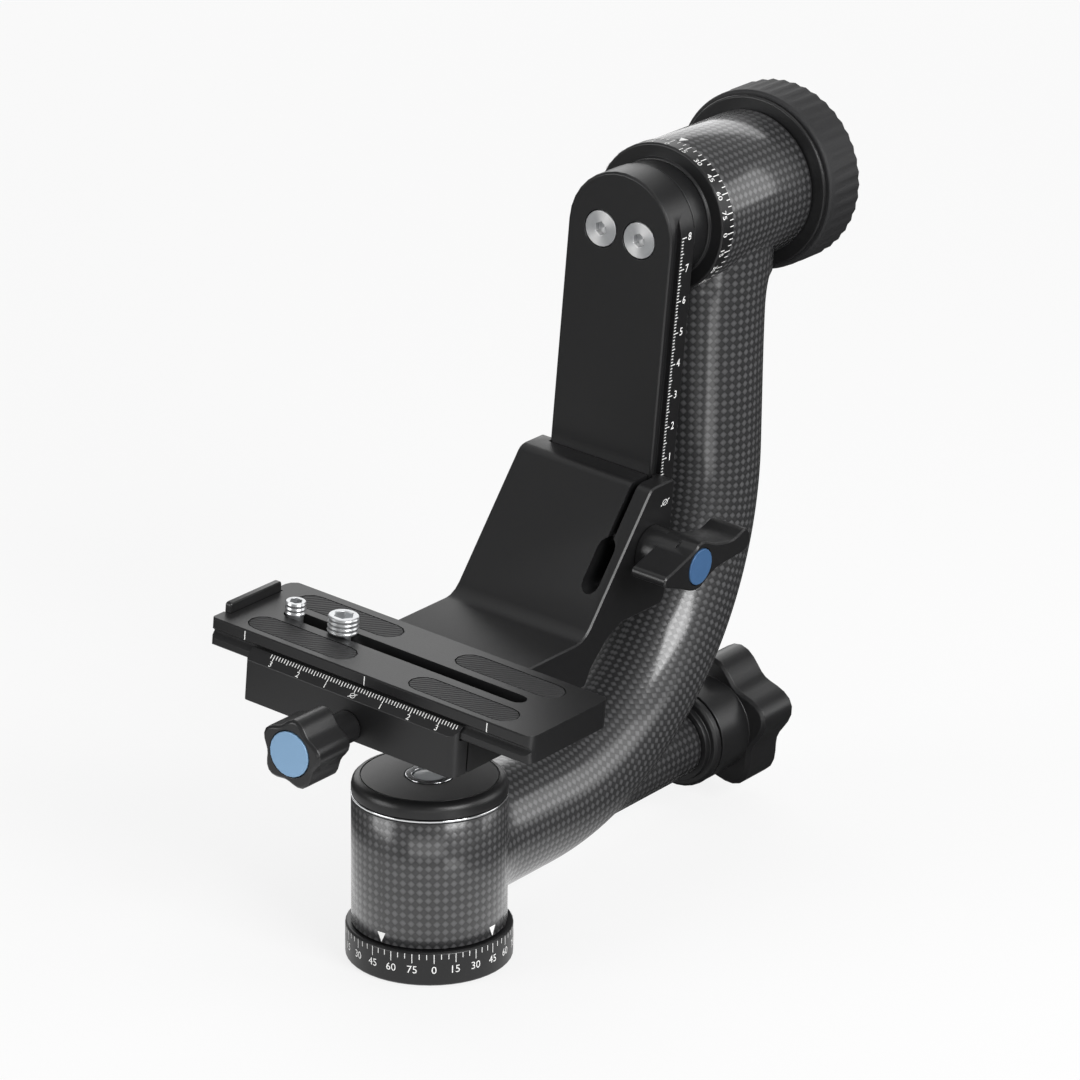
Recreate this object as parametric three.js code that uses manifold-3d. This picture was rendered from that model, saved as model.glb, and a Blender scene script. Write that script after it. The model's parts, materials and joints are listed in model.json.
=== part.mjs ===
import * as THREE from 'three';
import { mergeVertices } from 'three/addons/utils/BufferGeometryUtils.js';
import Module from 'manifold-3d';

// Gimbal tripod head: a J-shaped arm pans on a round base and carries a tilting hanger for a long lens.
// Millimetres, +Z up. The origin is the centre of the base's underside, on the pan axis.
// +X runs from the pan axis to the arm's upright. +Y is the side that the hanger's left end points to.

const wasm = await Module();
wasm.setup();

// Clearances and tolerances
const seatGap = 0.3;
const runningGap = 0.1;
const weldTolerance = 0.0001;
const cutMargin = 1;

// Roundness: how many straight sides stand for a circle
const largeSides = 48;
const mediumSides = 32;
const smallSides = 20;
const boreSides = 12;
const cornerSteps = 3;

// Pan base
const baseRadius = 24.7;
const baseHeight = 10.6;
const baseChamfer = 0.6;
const ringWall = 8.4;
const hubStep = 0.6;
const hubHeight = baseHeight - hubStep;
const spindleRadius = 9;
const spindleDrop = 5.3;
const threadBoreRadius = 4.76;
const nutRadius = 12;
const nutHeight = 2.4;
const nutBoreRadius = 2.5;

// Sleeve of the arm, round the spindle
const sleeveRadius = 22.96;
const sleeveLift = 0.4;
const sleeveBottom = baseHeight + sleeveLift;
const sleeveFoot = 1.1;
const sleeveShoulder = 1.2;
const sleeveBoreRadius = 18.5;
const linerThickness = 3.2;
const sleeveLinerDrop = 4.3;
const bearingHeight = 7;
const lowerBearingRise = 2;
const upperBearingDrop = 12.8;

// Cap over the sleeve, with its bright trim ring and round level
const trimRadius = 23.1;
const trimHeight = 0.7;
const trimInnerRadius = 19;
const capHeight = 4.8;
const capEdgeRound = 2.6;
const capFaceRadius = 20.1;
const capGrooveWidth = 0.5;
const capGrooveDepth = 0.4;
const capPlugRadius = 18.1;
const capPlugDepth = 4.8;
const capPlugWall = 3;
const capWebThickness = 2.2;
const levelRadius = 7.2;
const levelInnerRadius = 5.2;
const levelSeatDepth = 1.6;
const levelProud = 0.25;
const levelDomeHeight = 0.5;
const levelFloor = 0.5;

// Arm: one moulded tube with a sleeve, a stub and a bearing housing
const armRadius = 18.5;
const armWall = 3;
const armLowAxisHeight = sleeveBottom + sleeveFoot + armRadius;
const armUprightX = 136.5;
const armBendRadius = 90.4;
const armUprightLength = 77.2;
const armStep = 8;
const armBoreStep = 14;
const armSides = 32;
const armBoreSides = 16;
const sleeveFilletRadius = 40;
const housingFlareStart = 30;
const housingFlareGrowth = 3.8;
const housingBlendLength = 12;
const housingBlendInset = 0.5;

// Heights that follow the tube: the sleeve round it, and what stands in and on the sleeve
const sleeveTop = armLowAxisHeight + armRadius + sleeveShoulder;
const spindleTop = sleeveTop - spindleDrop;
const sleeveLinerTop = sleeveTop - sleeveLinerDrop;
const lowerBearingBottom = sleeveBottom + lowerBearingRise;
const upperBearingBottom = sleeveTop - upperBearingDrop;
const trimBottom = sleeveTop + seatGap;
const capBottom = trimBottom + trimHeight + seatGap;
const capTop = capBottom + capHeight;

// Stub on the bend, which carries the pan lock
const stubDrop = 4.4;
const stubHeight = armLowAxisHeight - stubDrop;
const stubRadius = 11.4;
const stubStartX = 50;
const stubEndX = 123.8;
const stubBoreRadius = 9;
const stubBoreStartX = 62;
const collarPlugLength = 14;
const collarNeckRadius = 13;
const collarNeckLength = 2.2;
const collarRadius = 15.5;
const collarLength = 3.4;
const collarRound = 0.9;
const collarBoreRadius = 3.4;

// Pan lock: knob, its screw and the brake shoe that presses on the spindle
const panRodRadius = 3;
const panShoeLength = 5;
const panShoeRadius = 3.1;
const panShoeHoleRadius = 3.5;
const panHubRadius = 15.4;
const panHubLength = 12.4;
const panLobeSetback = 1.8;
const panLobeDepth = 16.6;
const panLobeMeanRadius = 19.2;
const panLobeSwell = 2.4;
const panLobeCount = 5;
const panLobeTurn = 164;
const panSamplesPerLobe = 10;
const panLobeBevel = 1;
const panRodSocketShare = 0.45;
const panKnobCapRadius = 8;
const panKnobCapThickness = 1.6;

// Tilt axis: bearing housing on the arm, and what turns in it
const tiltAxisHeight = armLowAxisHeight + armBendRadius + armUprightLength;
const housingRadius = 22.5;
const housingInnerReach = 18.3;
const housingOuterReach = 24.2;
const housingStartX = armUprightX - housingInnerReach;
const housingEndX = armUprightX + housingOuterReach;
const housingBoreRadius = 18.5;
const housingEdgeChamfer = 0.5;
const housingLinerInset = 1.2;
const tiltBearingLength = 8;
const tiltBearingInset = 2.8;
const flangeOverhang = 0.45;
const flangeRadius = housingRadius + flangeOverhang;
const flangeThickness = 5.8;
const bracketHalfWidth = 18.65;
const flangeBossRadius = bracketHalfWidth;
const flangeBossHeight = 0.8;
const flangeFrontChamfer = 0.5;
const flangeBackChamfer = 0.25;
const flangeBackX = housingStartX - seatGap;
const flangeFrontX = flangeBackX - flangeThickness;
const bossFrontX = flangeFrontX - flangeBossHeight;
const tiltShaftRadius = 8;
const tiltShaftInset = 1.1;
const tiltShaftEndX = housingEndX - tiltShaftInset;
const tiltShaftBoreRadius = 4.3;
const tiltShaftBoreLength = 16;
const neckInset = 0.45;
const neckRadius = bracketHalfWidth - neckInset;
const neckLength = 6.5;

// Tilt lock: a broad knob with a ribbed rubber grip
const tiltKnobFrontX = housingEndX + seatGap;
const tiltKnobSeatRadius = 25.2;
const tiltKnobLipRise = 1.4;
const tiltKnobRadius = tiltKnobSeatRadius + tiltKnobLipRise;
const tiltKnobLipLength = 1.2;
const tiltKnobDepth = 16.6;
const tiltKnobBackX = tiltKnobFrontX + tiltKnobDepth;
const tiltKnobChamfer = 0.4;
const gripWall = 2.8;
const gripMeanRadius = tiltKnobSeatRadius + gripWall;
const gripSwell = 0.22;
const gripRibCount = 44;
const gripSamplesPerRib = 4;
const gripLength = 17;
const gripRingLength = 2.4;
const gripRibRise = 1.6;
const gripFrontRound = 0.6;
const gripEdgeRound = 1.6;
const tiltCapInset = 1.2;
const tiltCapRadius = tiltKnobSeatRadius - tiltCapInset;
const tiltCapThickness = 1.9;
const tiltCapDish = 0.8;
const tiltScrewRadius = 4;
const tiltScrewReach = 14;

// Hanger rest angle, as it hangs in the photograph
const hangerTurnDegrees = 4.7;

// The hanger's lowest point clears the cap. Heights on the hanger are from the tilt axis.
const hangerClearance = 14.3;
const platformBottom = capTop + hangerClearance - tiltAxisHeight;

// Upright bracket of the hanger, with a dovetail rail on its front
const bracketThickness = 12.56;
const bracketBackX = bossFrontX - seatGap - neckLength - seatGap;
const bracketFrontX = bracketBackX - bracketThickness;
const bracketFootRise = 24.5;
const bracketBottom = platformBottom + bracketFootRise;
const bracketFootRound = 4;
const bracketBevel = 0.6;
const railLipDepth = 1.56;
const railTaperX = bracketFrontX + railLipDepth;
const railLipOverhang = 1.75;
const railNeckHalfWidth = bracketHalfWidth - railLipOverhang;
const railDepth = 5.26;
const railBackX = bracketFrontX + railDepth;
const railTop = 8;
const bracketScrewOffset = 6.92;
const bracketScrewHeight = -0.3;
const bracketScrewHeadRadius = 5.55;
const bracketScrewHeadHeight = 3;
const bracketScrewSunk = 0.1;
const bracketScrewShankRadius = 2.9;
const bracketScrewBite = 3;
const bracketScrewEndX = flangeFrontX + bracketScrewBite;
const hexSocketRadius = 2.2;
const hexSocketDepth = 2.1;
const hexSides = 6;

// Cradle: slides on the bracket's rail and carries the clamp
const cradleRightWall = 6.05;
const cradleRight = -bracketHalfWidth - seatGap - cradleRightWall;
const cradleLeftWall = 4.75;
const cradleLeft = bracketHalfWidth + seatGap + cradleLeftWall;
const cradleWrap = 3.76;
const cradleBackX = bracketFrontX + cradleWrap;
const cradleHeight = 56;
const cradleCrest = platformBottom + cradleHeight;
const crestReach = 8.14;
const cradleCrestX = bracketFrontX - crestReach;
const cradleCrestRound = 4;
const cradleCornerRound = 1.4;
const cradleBevel = 0.5;
const slopeFootReach = 37.04;
const cradleSlopeFootX = bracketFrontX - slopeFootReach;
const cradleSlopeFootRound = 8;
const platformThickness = 15.6;
const platformTop = platformBottom + platformThickness;
const tongueThickness = 4.6;
const tongueReach = 6.85;
const tongueRound = 1.2;
const sliderRise = 15.7;
const sliderBottom = platformBottom + sliderRise;
const haunchPlaces = [[34.64, 0], [32.14, 5.4], [25.54, 12.1], [18.64, sliderRise]];
const haunchRounds = [1.4, 5, 9, 6];
const sliderFootRound = 3;
const splitShift = 0.1;
const splitCentre = -bracketHalfWidth - splitShift;
const splitWidth = 2.2;
const splitWideRise = 26.5;
const splitWideHeight = 15;
const splitWideBottom = platformBottom + splitWideRise;
const splitWideTop = splitWideBottom + splitWideHeight;
const splitWideWidth = 6;

// Two-winged knob that pinches the cradle on the rail
const wingReach = 7.14;
const wingAxisX = bracketFrontX - wingReach;
const wingRise = 36.5;
const wingAxisHeight = platformBottom + wingRise;
const wingStandOff = 18.7;
const wingFaceY = cradleRight - wingStandOff;
const wingDepth = 12.5;
const wingBevel = 0.5;
const wingOutline = [
  [26.35, 1.3], [25.6, 3.6], [23, 5.4], [16.8, 3.7], [8.2, 5], [2, 7.5],
  [-1.3, 7.4], [-3.7, 5.75], [-14.7, 2.2], [-17.3, 1.5], [-18.2, 0], [-17, -1.8],
  [-9, -4.6], [-3.7, -6.8], [1.2, -7.2], [8.7, -3.4], [22.5, -2.2], [25.4, -0.9],
];
const wingSamplesPerPoint = 3;
const wingHubRadius = 7.5;
const wingCapRadius = 5.65;
const wingCapRecess = 1;
const wingCapProud = 0.3;
const wingScrewRadius = 2.5;
const wingScrewReach = 28;
const wingSocketShare = 0.5;

// Clamp for the plate. Its section is measured outward from the clamp's centre line.
const clampCentreX = -9.15;
const clampLength = 76;
const clampCentreY = -3.4;
const plateHalfWidth = 19.05;
const clampFloorThickness = 11.4;
const clampBottom = platformBottom + tongueThickness + seatGap;
const clampFloor = clampBottom + clampFloorThickness;
const jawShoulderRise = 1.2;
const jawShoulder = clampFloor + jawShoulderRise;
const jawInset = 3.6;
const jawSplitOffset = plateHalfWidth - jawInset;
const jawSplitGap = 0.6;
const jawRightRound = 3;
const jawLeftRound = 1;
const lipRootOffset = plateHalfWidth + seatGap;
const lipRootRise = 2.65;
const lipRoot = clampFloor + lipRootRise;
const lipHook = 1.05;
const lipTipOffset = plateHalfWidth - lipHook;
const lipTipRise = 4;
const lipTipBottom = clampFloor + lipTipRise;
const lipLand = 0.4;
const lipTopOffset = lipTipOffset + lipLand;
const lipThickness = 0.35;
const lipTop = lipTipBottom + lipThickness;
const frontJawWall = 2.1;
const clampHalfWidth = lipRootOffset + frontJawWall;
const rearJawWall = 4.05;
const rearJawHalfWidth = lipRootOffset + rearJawWall;
const guidePinRadius = 2;
const guidePinSpread = 26;
const guidePinRise = 5.3;
const guidePinHeight = clampBottom + guidePinRise;
const guidePinLength = 20;
const guidePinInset = 2;
const clampBoltRadius = 2.5;
const clampBoltSpread = 15;
const clampBoltOffset = 6.15;
const clampBoltReach = 6.6;
const clampBoltTop = clampBottom + clampBoltReach;
const clampBoltHeadRadius = 4.2;
const clampBoltHeadHeight = 2.2;
const clampBoltSunk = 0.3;

// Five-lobed knob that closes the clamp
const clampKnobRise = 4.1;
const clampKnobHeight = clampBottom + clampKnobRise;
const clampKnobReach = 26.7;
const clampKnobNeckRadius = 4.8;
const clampKnobLobeDepth = 15;
const clampKnobLobeMeanRadius = 9.65;
const clampKnobLobeSwell = 1.05;
const clampKnobLobeCount = 5;
const clampKnobLobeTurn = 24.6;
const clampSamplesPerLobe = 8;
const clampKnobBevel = 0.8;
const clampKnobCapRadius = 6.8;
const clampKnobCapRecess = 1;
const clampKnobCapProud = 0.3;
const clampScrewRadius = 3;
const clampScrewOffset = 15.15;
const clampScrewSocketShare = 0.5;

// Camera plate
const plateFrontX = clampCentreX - plateHalfWidth;
const plateRearX = clampCentreX + plateHalfWidth;
const plateRight = -65.3;
const plateLeft = 49.8;
const plateThickness = 8.6;
const plateBottom = clampFloor + seatGap;
const plateTop = plateBottom + plateThickness;
const plateRightRound = 3;
const plateFrontRound = 1.2;
const plateRearRound = 4;
const grooveDepth = 1.6;
const grooveBottomRise = 2.2;
const grooveBottom = plateBottom + grooveBottomRise;
const grooveInnerBottom = grooveBottom + grooveDepth;
const grooveLand = 0.4;
const grooveInnerTop = grooveInnerBottom + grooveLand;
const grooveUpperSlope = 1.2;
const grooveTop = grooveInnerTop + grooveUpperSlope;
const plateEdgeChamfer = 0.4;
const slotShift = 0.35;
const slotX = clampCentreX - slotShift;
const slotHalfWidth = 2.8;
const slotLeftInset = 12.4;
const slotLeft = plateLeft - slotLeftInset;
const slotRightInset = 15.7;
const slotRight = plateRight + slotRightInset;
const slotLedgeHalfWidth = 7.7;
const slotLedgeDepth = 4;
const padThickness = 0.9;
const padWidth = 9.4;
const padFrontOffset = 11.55;
const padRearOffset = 10.55;
const padFrontX = clampCentreX - padFrontOffset;
const padRearX = clampCentreX + padRearOffset;
const padLeftInset = 9;
const padRightInset = 10.7;
const padLeftSpan = [plateLeft - padLeftInset, 3.5];
const padRightSpan = [-17.7, plateRight + padRightInset];
const stopLipFrontInset = 5.9;
const stopLipRearInset = 8.5;
const stopLipFrontX = plateFrontX + stopLipFrontInset;
const stopLipRearX = plateRearX - stopLipRearInset;
const stopLipThickness = 2.2;
const stopLipProud = 3;
const stopLipTop = plateTop + stopLipProud;
const stopLipFoot = 2.5;
const stopLipBottom = plateBottom + stopLipFoot;
const stopLipBevel = 0.3;
const stopLipRound = 0.9;
const stopScrewRadius = 1.5;
const stopScrewHeadRadius = 2.2;
const stopScrewHeadDepth = 1.2;
const stopScrewLength = 7;
const stopScrewInset = 5;
const stopScrewDrop = 3.1;
const stopScrewHeight = plateTop - stopScrewDrop;
const safetyPinOffset = 11.15;
const safetyPinX = clampCentreX + safetyPinOffset;
const safetyPinInset = 7.3;
const safetyPinY = plateRight + safetyPinInset;
const safetyPinRadius = 2;
const safetyPinProud = 1.6;
const safetyPinSeat = 4;

// Camera screws in the plate's slot
const smallScrewY = 33.8;
const smallScrewRadius = 3.17;
const smallScrewReach = 4.5;
const largeScrewY = 16.2;
const largeScrewRadius = 4.76;
const largeScrewReach = 5.7;
const screwCrestShare = 0.9;
const screwPitch = 1.3;
const screwStemRadius = 2.5;
const screwHeadRadius = 7.3;
const screwHeadHeight = 3.4;
const screwSocketShare = 0.63;
const screwSocketDepth = 3;
const screwSlotWidth = 1.6;
const screwSlotDepth = 1.4;

// Materials, by their look in the photograph
const carbon = { color: 0x1c1c1e, roughness: 0.28, metalness: 0 };
const blackMetal = { color: 0x232427, roughness: 0.42, metalness: 0.85 };
const blackPlastic = { color: 0x1d1d1f, roughness: 0.38, metalness: 0 };
const rubber = { color: 0x161617, roughness: 0.75, metalness: 0 };
const steel = { color: 0xb9bbbe, roughness: 0.25, metalness: 1 };
const brightTrim = { color: 0xd9dadc, roughness: 0.14, metalness: 1 };
const bronze = { color: 0x8f7440, roughness: 0.4, metalness: 1 };
const darkBlue = { color: 0x1c2c55, roughness: 0.35, metalness: 0.2 };
const paleBlue = { color: 0x6f93b8, roughness: 0.35, metalness: 0.2 };
const paleVial = { color: 0xc9cdd0, roughness: 0.2, metalness: 0 };

const axisX = new THREE.Vector3(1, 0, 0);
const axisY = new THREE.Vector3(0, 1, 0);
const axisZ = new THREE.Vector3(0, 0, 1);

// Turns geometry into a solid: shared corners are welded, flat triangles dropped and the skin faced outward
function solid(geometry) {
  const plain = geometry.clone();
  plain.deleteAttribute('normal');
  plain.deleteAttribute('uv');
  const welded = mergeVertices(plain, weldTolerance);
  const points = welded.attributes.position;
  const kept = [];
  let volume = 0;
  const [a, b, c] = [new THREE.Vector3(), new THREE.Vector3(), new THREE.Vector3()];
  for (let i = 0; i < welded.index.count; i += 3) {
    const [p, q, r] = [welded.index.getX(i), welded.index.getX(i + 1), welded.index.getX(i + 2)];
    if (p === q || q === r || r === p) continue;
    kept.push([p, q, r]);
    a.fromBufferAttribute(points, p);
    b.fromBufferAttribute(points, q);
    c.fromBufferAttribute(points, r);
    volume += a.dot(b.cross(c));
  }
  const faces = volume < 0 ? kept.map(([p, q, r]) => [p, r, q]) : kept;
  const used = [...new Set(faces.flat())];
  const renumbered = new Map(used.map((old, now) => [old, now]));
  const places = used.map((i) => [points.getX(i), points.getY(i), points.getZ(i)]);
  const vertProperties = new Float32Array(places.flat());
  const triVerts = new Uint32Array(faces.flat().map((i) => renumbered.get(i)));
  return new wasm.Manifold(new wasm.Mesh({ numProp: 3, vertProperties, triVerts }));
}

// A turned piece: radius and position along the axis, point by point round its half section
function turned(profile, sides, axis = axisZ) {
  const touchesAxis = profile[0][0] === 0;
  const loop = touchesAxis ? profile : [...profile, profile[0]];
  const geometry = new THREE.LatheGeometry(loop.map(([r, h]) => new THREE.Vector2(r, h)), sides);
  geometry.applyQuaternion(new THREE.Quaternion().setFromUnitVectors(axisY, axis));
  return solid(geometry);
}

// A plain round bar from one position to another along an axis, off the axis by a shift
function bar(radius, from, to, sides, axis = axisZ, shift = [0, 0, 0]) {
  return turned([[0, from], [radius, from], [radius, to], [0, to]], sides, axis).translate(shift);
}

// A plain tube wall
function ring(outer, inner, from, to, sides, axis = axisZ) {
  return turned([[inner, from], [outer, from], [outer, to], [inner, to]], sides, axis);
}

// A block between two opposite corners
function block(low, high) {
  const size = high.map((value, i) => value - low[i]);
  const geometry = new THREE.BoxGeometry(...size);
  geometry.translate(...high.map((value, i) => (value + low[i]) / 2));
  return solid(geometry);
}

// A closed outline whose corners are rounded, each by its own radius
function roundedOutline(corners) {
  const points = [];
  corners.forEach(([x, y, radius = 0], i) => {
    const before = corners[(i + corners.length - 1) % corners.length];
    const after = corners[(i + 1) % corners.length];
    const corner = new THREE.Vector2(x, y);
    if (radius === 0) {
      points.push(corner);
      return;
    }
    const into = new THREE.Vector2(before[0], before[1]).sub(corner).normalize();
    const out = new THREE.Vector2(after[0], after[1]).sub(corner).normalize();
    const halfAngle = Math.acos(THREE.MathUtils.clamp(into.dot(out), -1, 1)) / 2;
    const reach = radius / Math.tan(halfAngle);
    const centre = into.clone().add(out).normalize().multiplyScalar(radius / Math.sin(halfAngle)).add(corner);
    const start = into.multiplyScalar(reach).add(corner).sub(centre);
    const end = out.multiplyScalar(reach).add(corner).sub(centre);
    const sweep = Math.atan2(start.cross(end), start.dot(end));
    for (let step = 0; step <= cornerSteps; step += 1) {
      points.push(start.clone().rotateAround(new THREE.Vector2(), (sweep * step) / cornerSteps).add(centre));
    }
  });
  return points;
}

// A rounded rectangle about a centre; the rounding may differ at the low and the high end of its length
function roundedRectangle(centre, size, lowRound, highRound = lowRound) {
  const [x, y] = [size[0] / 2, size[1] / 2];
  return roundedOutline([
    [centre[0] - x, centre[1] - y, lowRound],
    [centre[0] + x, centre[1] - y, lowRound],
    [centre[0] + x, centre[1] + y, highRound],
    [centre[0] - x, centre[1] + y, highRound],
  ]);
}

// A wavy knob outline
function lobedOutline(meanRadius, swell, count, turnDegrees, samples) {
  const turn = THREE.MathUtils.degToRad(turnDegrees);
  return Array.from({ length: samples }, (_, i) => {
    const angle = (2 * Math.PI * i) / samples;
    const radius = meanRadius + swell * Math.cos(count * (angle - turn));
    return new THREE.Vector2(radius * Math.cos(angle), radius * Math.sin(angle));
  });
}

// An outline pushed out to a depth, its end edges bevelled
function prism(outline, depth, bevel = 0) {
  const geometry = new THREE.ExtrudeGeometry(new THREE.Shape(outline), {
    depth: depth - 2 * bevel,
    bevelEnabled: bevel > 0,
    bevelThickness: bevel,
    bevelSize: bevel,
    bevelOffset: -bevel,
    bevelSegments: 1,
  });
  geometry.translate(0, 0, bevel);
  return geometry;
}

// A prism whose outline lies in Y and Z and which runs along +X from a position
function prismAlongX(outline, fromX, depth, bevel = 0) {
  const geometry = prism(outline, depth, bevel);
  geometry.applyMatrix4(new THREE.Matrix4().makeBasis(axisY, axisZ, axisX));
  geometry.translate(fromX, 0, 0);
  return solid(geometry);
}

// A prism whose outline lies in X and Z and which runs between two positions along Y
function prismAlongY(outline, lowY, highY, bevel = 0) {
  const geometry = prism(outline, highY - lowY, bevel);
  geometry.applyMatrix4(new THREE.Matrix4().makeBasis(axisX, axisZ, axisY.clone().negate()));
  geometry.translate(0, highY, 0);
  return solid(geometry);
}

// A prism whose outline lies in X and Y and which runs between two heights
function prismAlongZ(outline, lowZ, highZ, bevel = 0) {
  const geometry = prism(outline, highZ - lowZ, bevel);
  geometry.translate(0, 0, lowZ);
  return solid(geometry);
}

const cut = (body, ...tools) => tools.reduce((rest, tool) => rest.subtract(tool), body);
const join = (...bodies) => bodies.reduce((whole, body) => whole.add(body));

function piece(name, body, look) {
  const { vertProperties, triVerts } = body.getMesh();
  const geometry = new THREE.BufferGeometry();
  geometry.setAttribute('position', new THREE.BufferAttribute(vertProperties, 3));
  geometry.setIndex(new THREE.BufferAttribute(triVerts, 1));
  geometry.computeVertexNormals();
  const mesh = new THREE.Mesh(geometry, new THREE.MeshStandardMaterial(look));
  mesh.name = name;
  return mesh;
}

function assembly(name, ...children) {
  const group = new THREE.Group();
  group.name = name;
  group.add(...children);
  return group;
}

// Pan base: a graduated ring, a hub with the bore for the tripod's bolt, and the spindle that carries the arm

const ringBoreRadius = baseRadius - ringWall;
const scaleRing = turned([
  [ringBoreRadius, 0],
  [baseRadius - baseChamfer, 0],
  [baseRadius, baseChamfer],
  [baseRadius, baseHeight - baseChamfer],
  [baseRadius - baseChamfer, baseHeight],
  [ringBoreRadius, baseHeight],
], largeSides);

const baseHub = ring(ringBoreRadius - seatGap, threadBoreRadius, 0, hubHeight, mediumSides);
const panSpindle = bar(spindleRadius, hubHeight + seatGap, spindleTop, mediumSides);

const spindleNutBottom = spindleTop + seatGap;
const spindleNut = ring(nutRadius, nutBoreRadius, spindleNutBottom, spindleNutBottom + nutHeight, hexSides);

// Bearings and metal liner inside the sleeve

const linerRadius = sleeveBoreRadius - seatGap;
const linerBoreRadius = linerRadius - linerThickness;
const bearingOuterRadius = linerBoreRadius - seatGap;
const panShoeHole = bar(panShoeHoleRadius, 0, sleeveRadius, boreSides, axisX, [0, 0, stubHeight]);
const sleeveLiner = cut(
  ring(linerRadius, linerBoreRadius, sleeveBottom + seatGap, sleeveLinerTop, mediumSides),
  panShoeHole,
);

function panBearing(bottom) {
  return ring(bearingOuterRadius, spindleRadius + runningGap, bottom, bottom + bearingHeight, mediumSides);
}

// Cap, trim ring and round level on top of the sleeve

const trimRing = ring(trimRadius, trimInnerRadius, trimBottom, trimBottom + trimHeight, largeSides);
const capEdge = Array.from({ length: cornerSteps + 1 }, (_, i) => {
  const angle = (Math.PI / 2) * (i / cornerSteps);
  return [
    sleeveRadius - capEdgeRound * (1 - Math.cos(angle)),
    capTop - capEdgeRound * (1 - Math.sin(angle)),
  ];
});
const capPlugBottom = capBottom - capPlugDepth;
const capWebBottom = capTop - levelSeatDepth - capWebThickness;
const baseCap = turned([
  [0, capWebBottom],
  [capPlugRadius - capPlugWall, capWebBottom],
  [capPlugRadius - capPlugWall, capPlugBottom],
  [capPlugRadius, capPlugBottom],
  [capPlugRadius, capBottom],
  [sleeveRadius, capBottom],
  ...capEdge,
  [capFaceRadius + capGrooveWidth, capTop],
  [capFaceRadius + capGrooveWidth, capTop - capGrooveDepth],
  [capFaceRadius, capTop - capGrooveDepth],
  [capFaceRadius, capTop],
  [levelRadius + seatGap, capTop],
  [levelRadius + seatGap, capTop - levelSeatDepth],
  [0, capTop - levelSeatDepth],
], largeSides);

const levelSeat = capTop - levelSeatDepth + seatGap;
const levelTop = capTop + levelProud;
const levelBezel = ring(levelRadius, levelInnerRadius, levelSeat, levelTop, mediumSides);
const levelVialRadius = levelInnerRadius - seatGap;
const levelVial = turned([
  [0, levelSeat],
  [levelVialRadius, levelSeat],
  [levelVialRadius, levelTop - levelFloor],
  [levelVialRadius / 2, levelTop - levelFloor + levelDomeHeight / 2],
  [0, levelTop - levelFloor + levelDomeHeight],
], smallSides);

// Arm: the route of the tube, then its flares, sleeve, stub and housing

const bendCentreX = armUprightX - armBendRadius;
const bendCentreZ = armLowAxisHeight + armBendRadius;
const bendLength = armBendRadius * Math.PI / 2;
const armLength = bendCentreX + bendLength + tiltAxisHeight - bendCentreZ;

function armPoint(distance) {
  if (distance <= bendCentreX) return new THREE.Vector3(distance, 0, armLowAxisHeight);
  if (distance >= bendCentreX + bendLength) {
    return new THREE.Vector3(armUprightX, 0, bendCentreZ + distance - bendCentreX - bendLength);
  }
  const angle = (distance - bendCentreX) / armBendRadius;
  return new THREE.Vector3(
    bendCentreX + armBendRadius * Math.sin(angle),
    0,
    bendCentreZ - armBendRadius * Math.cos(angle),
  );
}

function armTube(radius, sides, step) {
  const steps = Math.round(armLength / step);
  const route = Array.from({ length: steps + 1 }, (_, i) => armPoint((armLength * i) / steps));
  const circle = new THREE.Shape().absarc(0, 0, radius, 0, 2 * Math.PI);
  return new THREE.ExtrudeGeometry(new THREE.Shape(circle.getSpacedPoints(sides).slice(0, sides)), {
    steps,
    extrudePath: new THREE.CatmullRomCurve3(route),
  });
}

// Share of a quarter-round blend that has grown at a point along it
function blendShare(distance, length) {
  const t = THREE.MathUtils.clamp(distance / length, 0, 1);
  return 1 - Math.sqrt(1 - t * t);
}

// Fillet circle that touches the tube's side and the sleeve
const sleeveFilletY = armRadius + sleeveFilletRadius;
const sleeveFilletX = Math.sqrt((sleeveRadius + sleeveFilletRadius) ** 2 - sleeveFilletY ** 2);
const sleeveTouchX = (sleeveFilletX * sleeveRadius) / (sleeveRadius + sleeveFilletRadius);

function flared(geometry) {
  const points = geometry.attributes.position;
  const housingBottom = tiltAxisHeight - housingRadius;
  for (let i = 0; i < points.count; i += 1) {
    const [x, y, z] = [points.getX(i), points.getY(i), points.getZ(i)];
    if (z > housingBottom - housingFlareStart) {
      const sideShare = blendShare(z - housingBottom + housingFlareStart, housingFlareStart + housingRadius);
      const blend = blendShare(z - housingBottom + housingBlendLength, housingBlendLength);
      const reach = x > armUprightX ? housingOuterReach : housingInnerReach;
      const outward = reach - housingBlendInset - armRadius;
      points.setX(i, x + (x - armUprightX) * (outward * blend) / armRadius);
      points.setY(i, y * (1 + (housingFlareGrowth * sideShare) / armRadius));
    } else if (x < sleeveFilletX) {
      const along = sleeveFilletX - Math.max(x, sleeveTouchX);
      const halfWidth = sleeveFilletY - Math.sqrt(sleeveFilletRadius ** 2 - along ** 2);
      points.setY(i, (y * halfWidth) / armRadius);
    }
  }
  return geometry;
}

const sleeveBody = bar(sleeveRadius, sleeveBottom, sleeveTop, largeSides);
const housingBody = turned([
  [0, housingStartX],
  [housingRadius - housingEdgeChamfer, housingStartX],
  [housingRadius, housingStartX + housingEdgeChamfer],
  [housingRadius, housingEndX - housingEdgeChamfer],
  [housingRadius - housingEdgeChamfer, housingEndX],
  [0, housingEndX],
], largeSides, axisX).translate([0, 0, tiltAxisHeight]);
const stubBody = bar(stubRadius, stubStartX, stubEndX, smallSides, axisX, [0, 0, stubHeight]);
const insideSleeve = bar(sleeveRadius, 0, tiltAxisHeight, largeSides);
const sleeveZone = block(
  [-sleeveRadius, -sleeveRadius - cutMargin, sleeveBottom - cutMargin],
  [0, sleeveRadius + cutMargin, sleeveTop + cutMargin],
);
const sleeveBore = bar(sleeveBoreRadius, sleeveBottom - cutMargin, sleeveTop + cutMargin, mediumSides);
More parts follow.
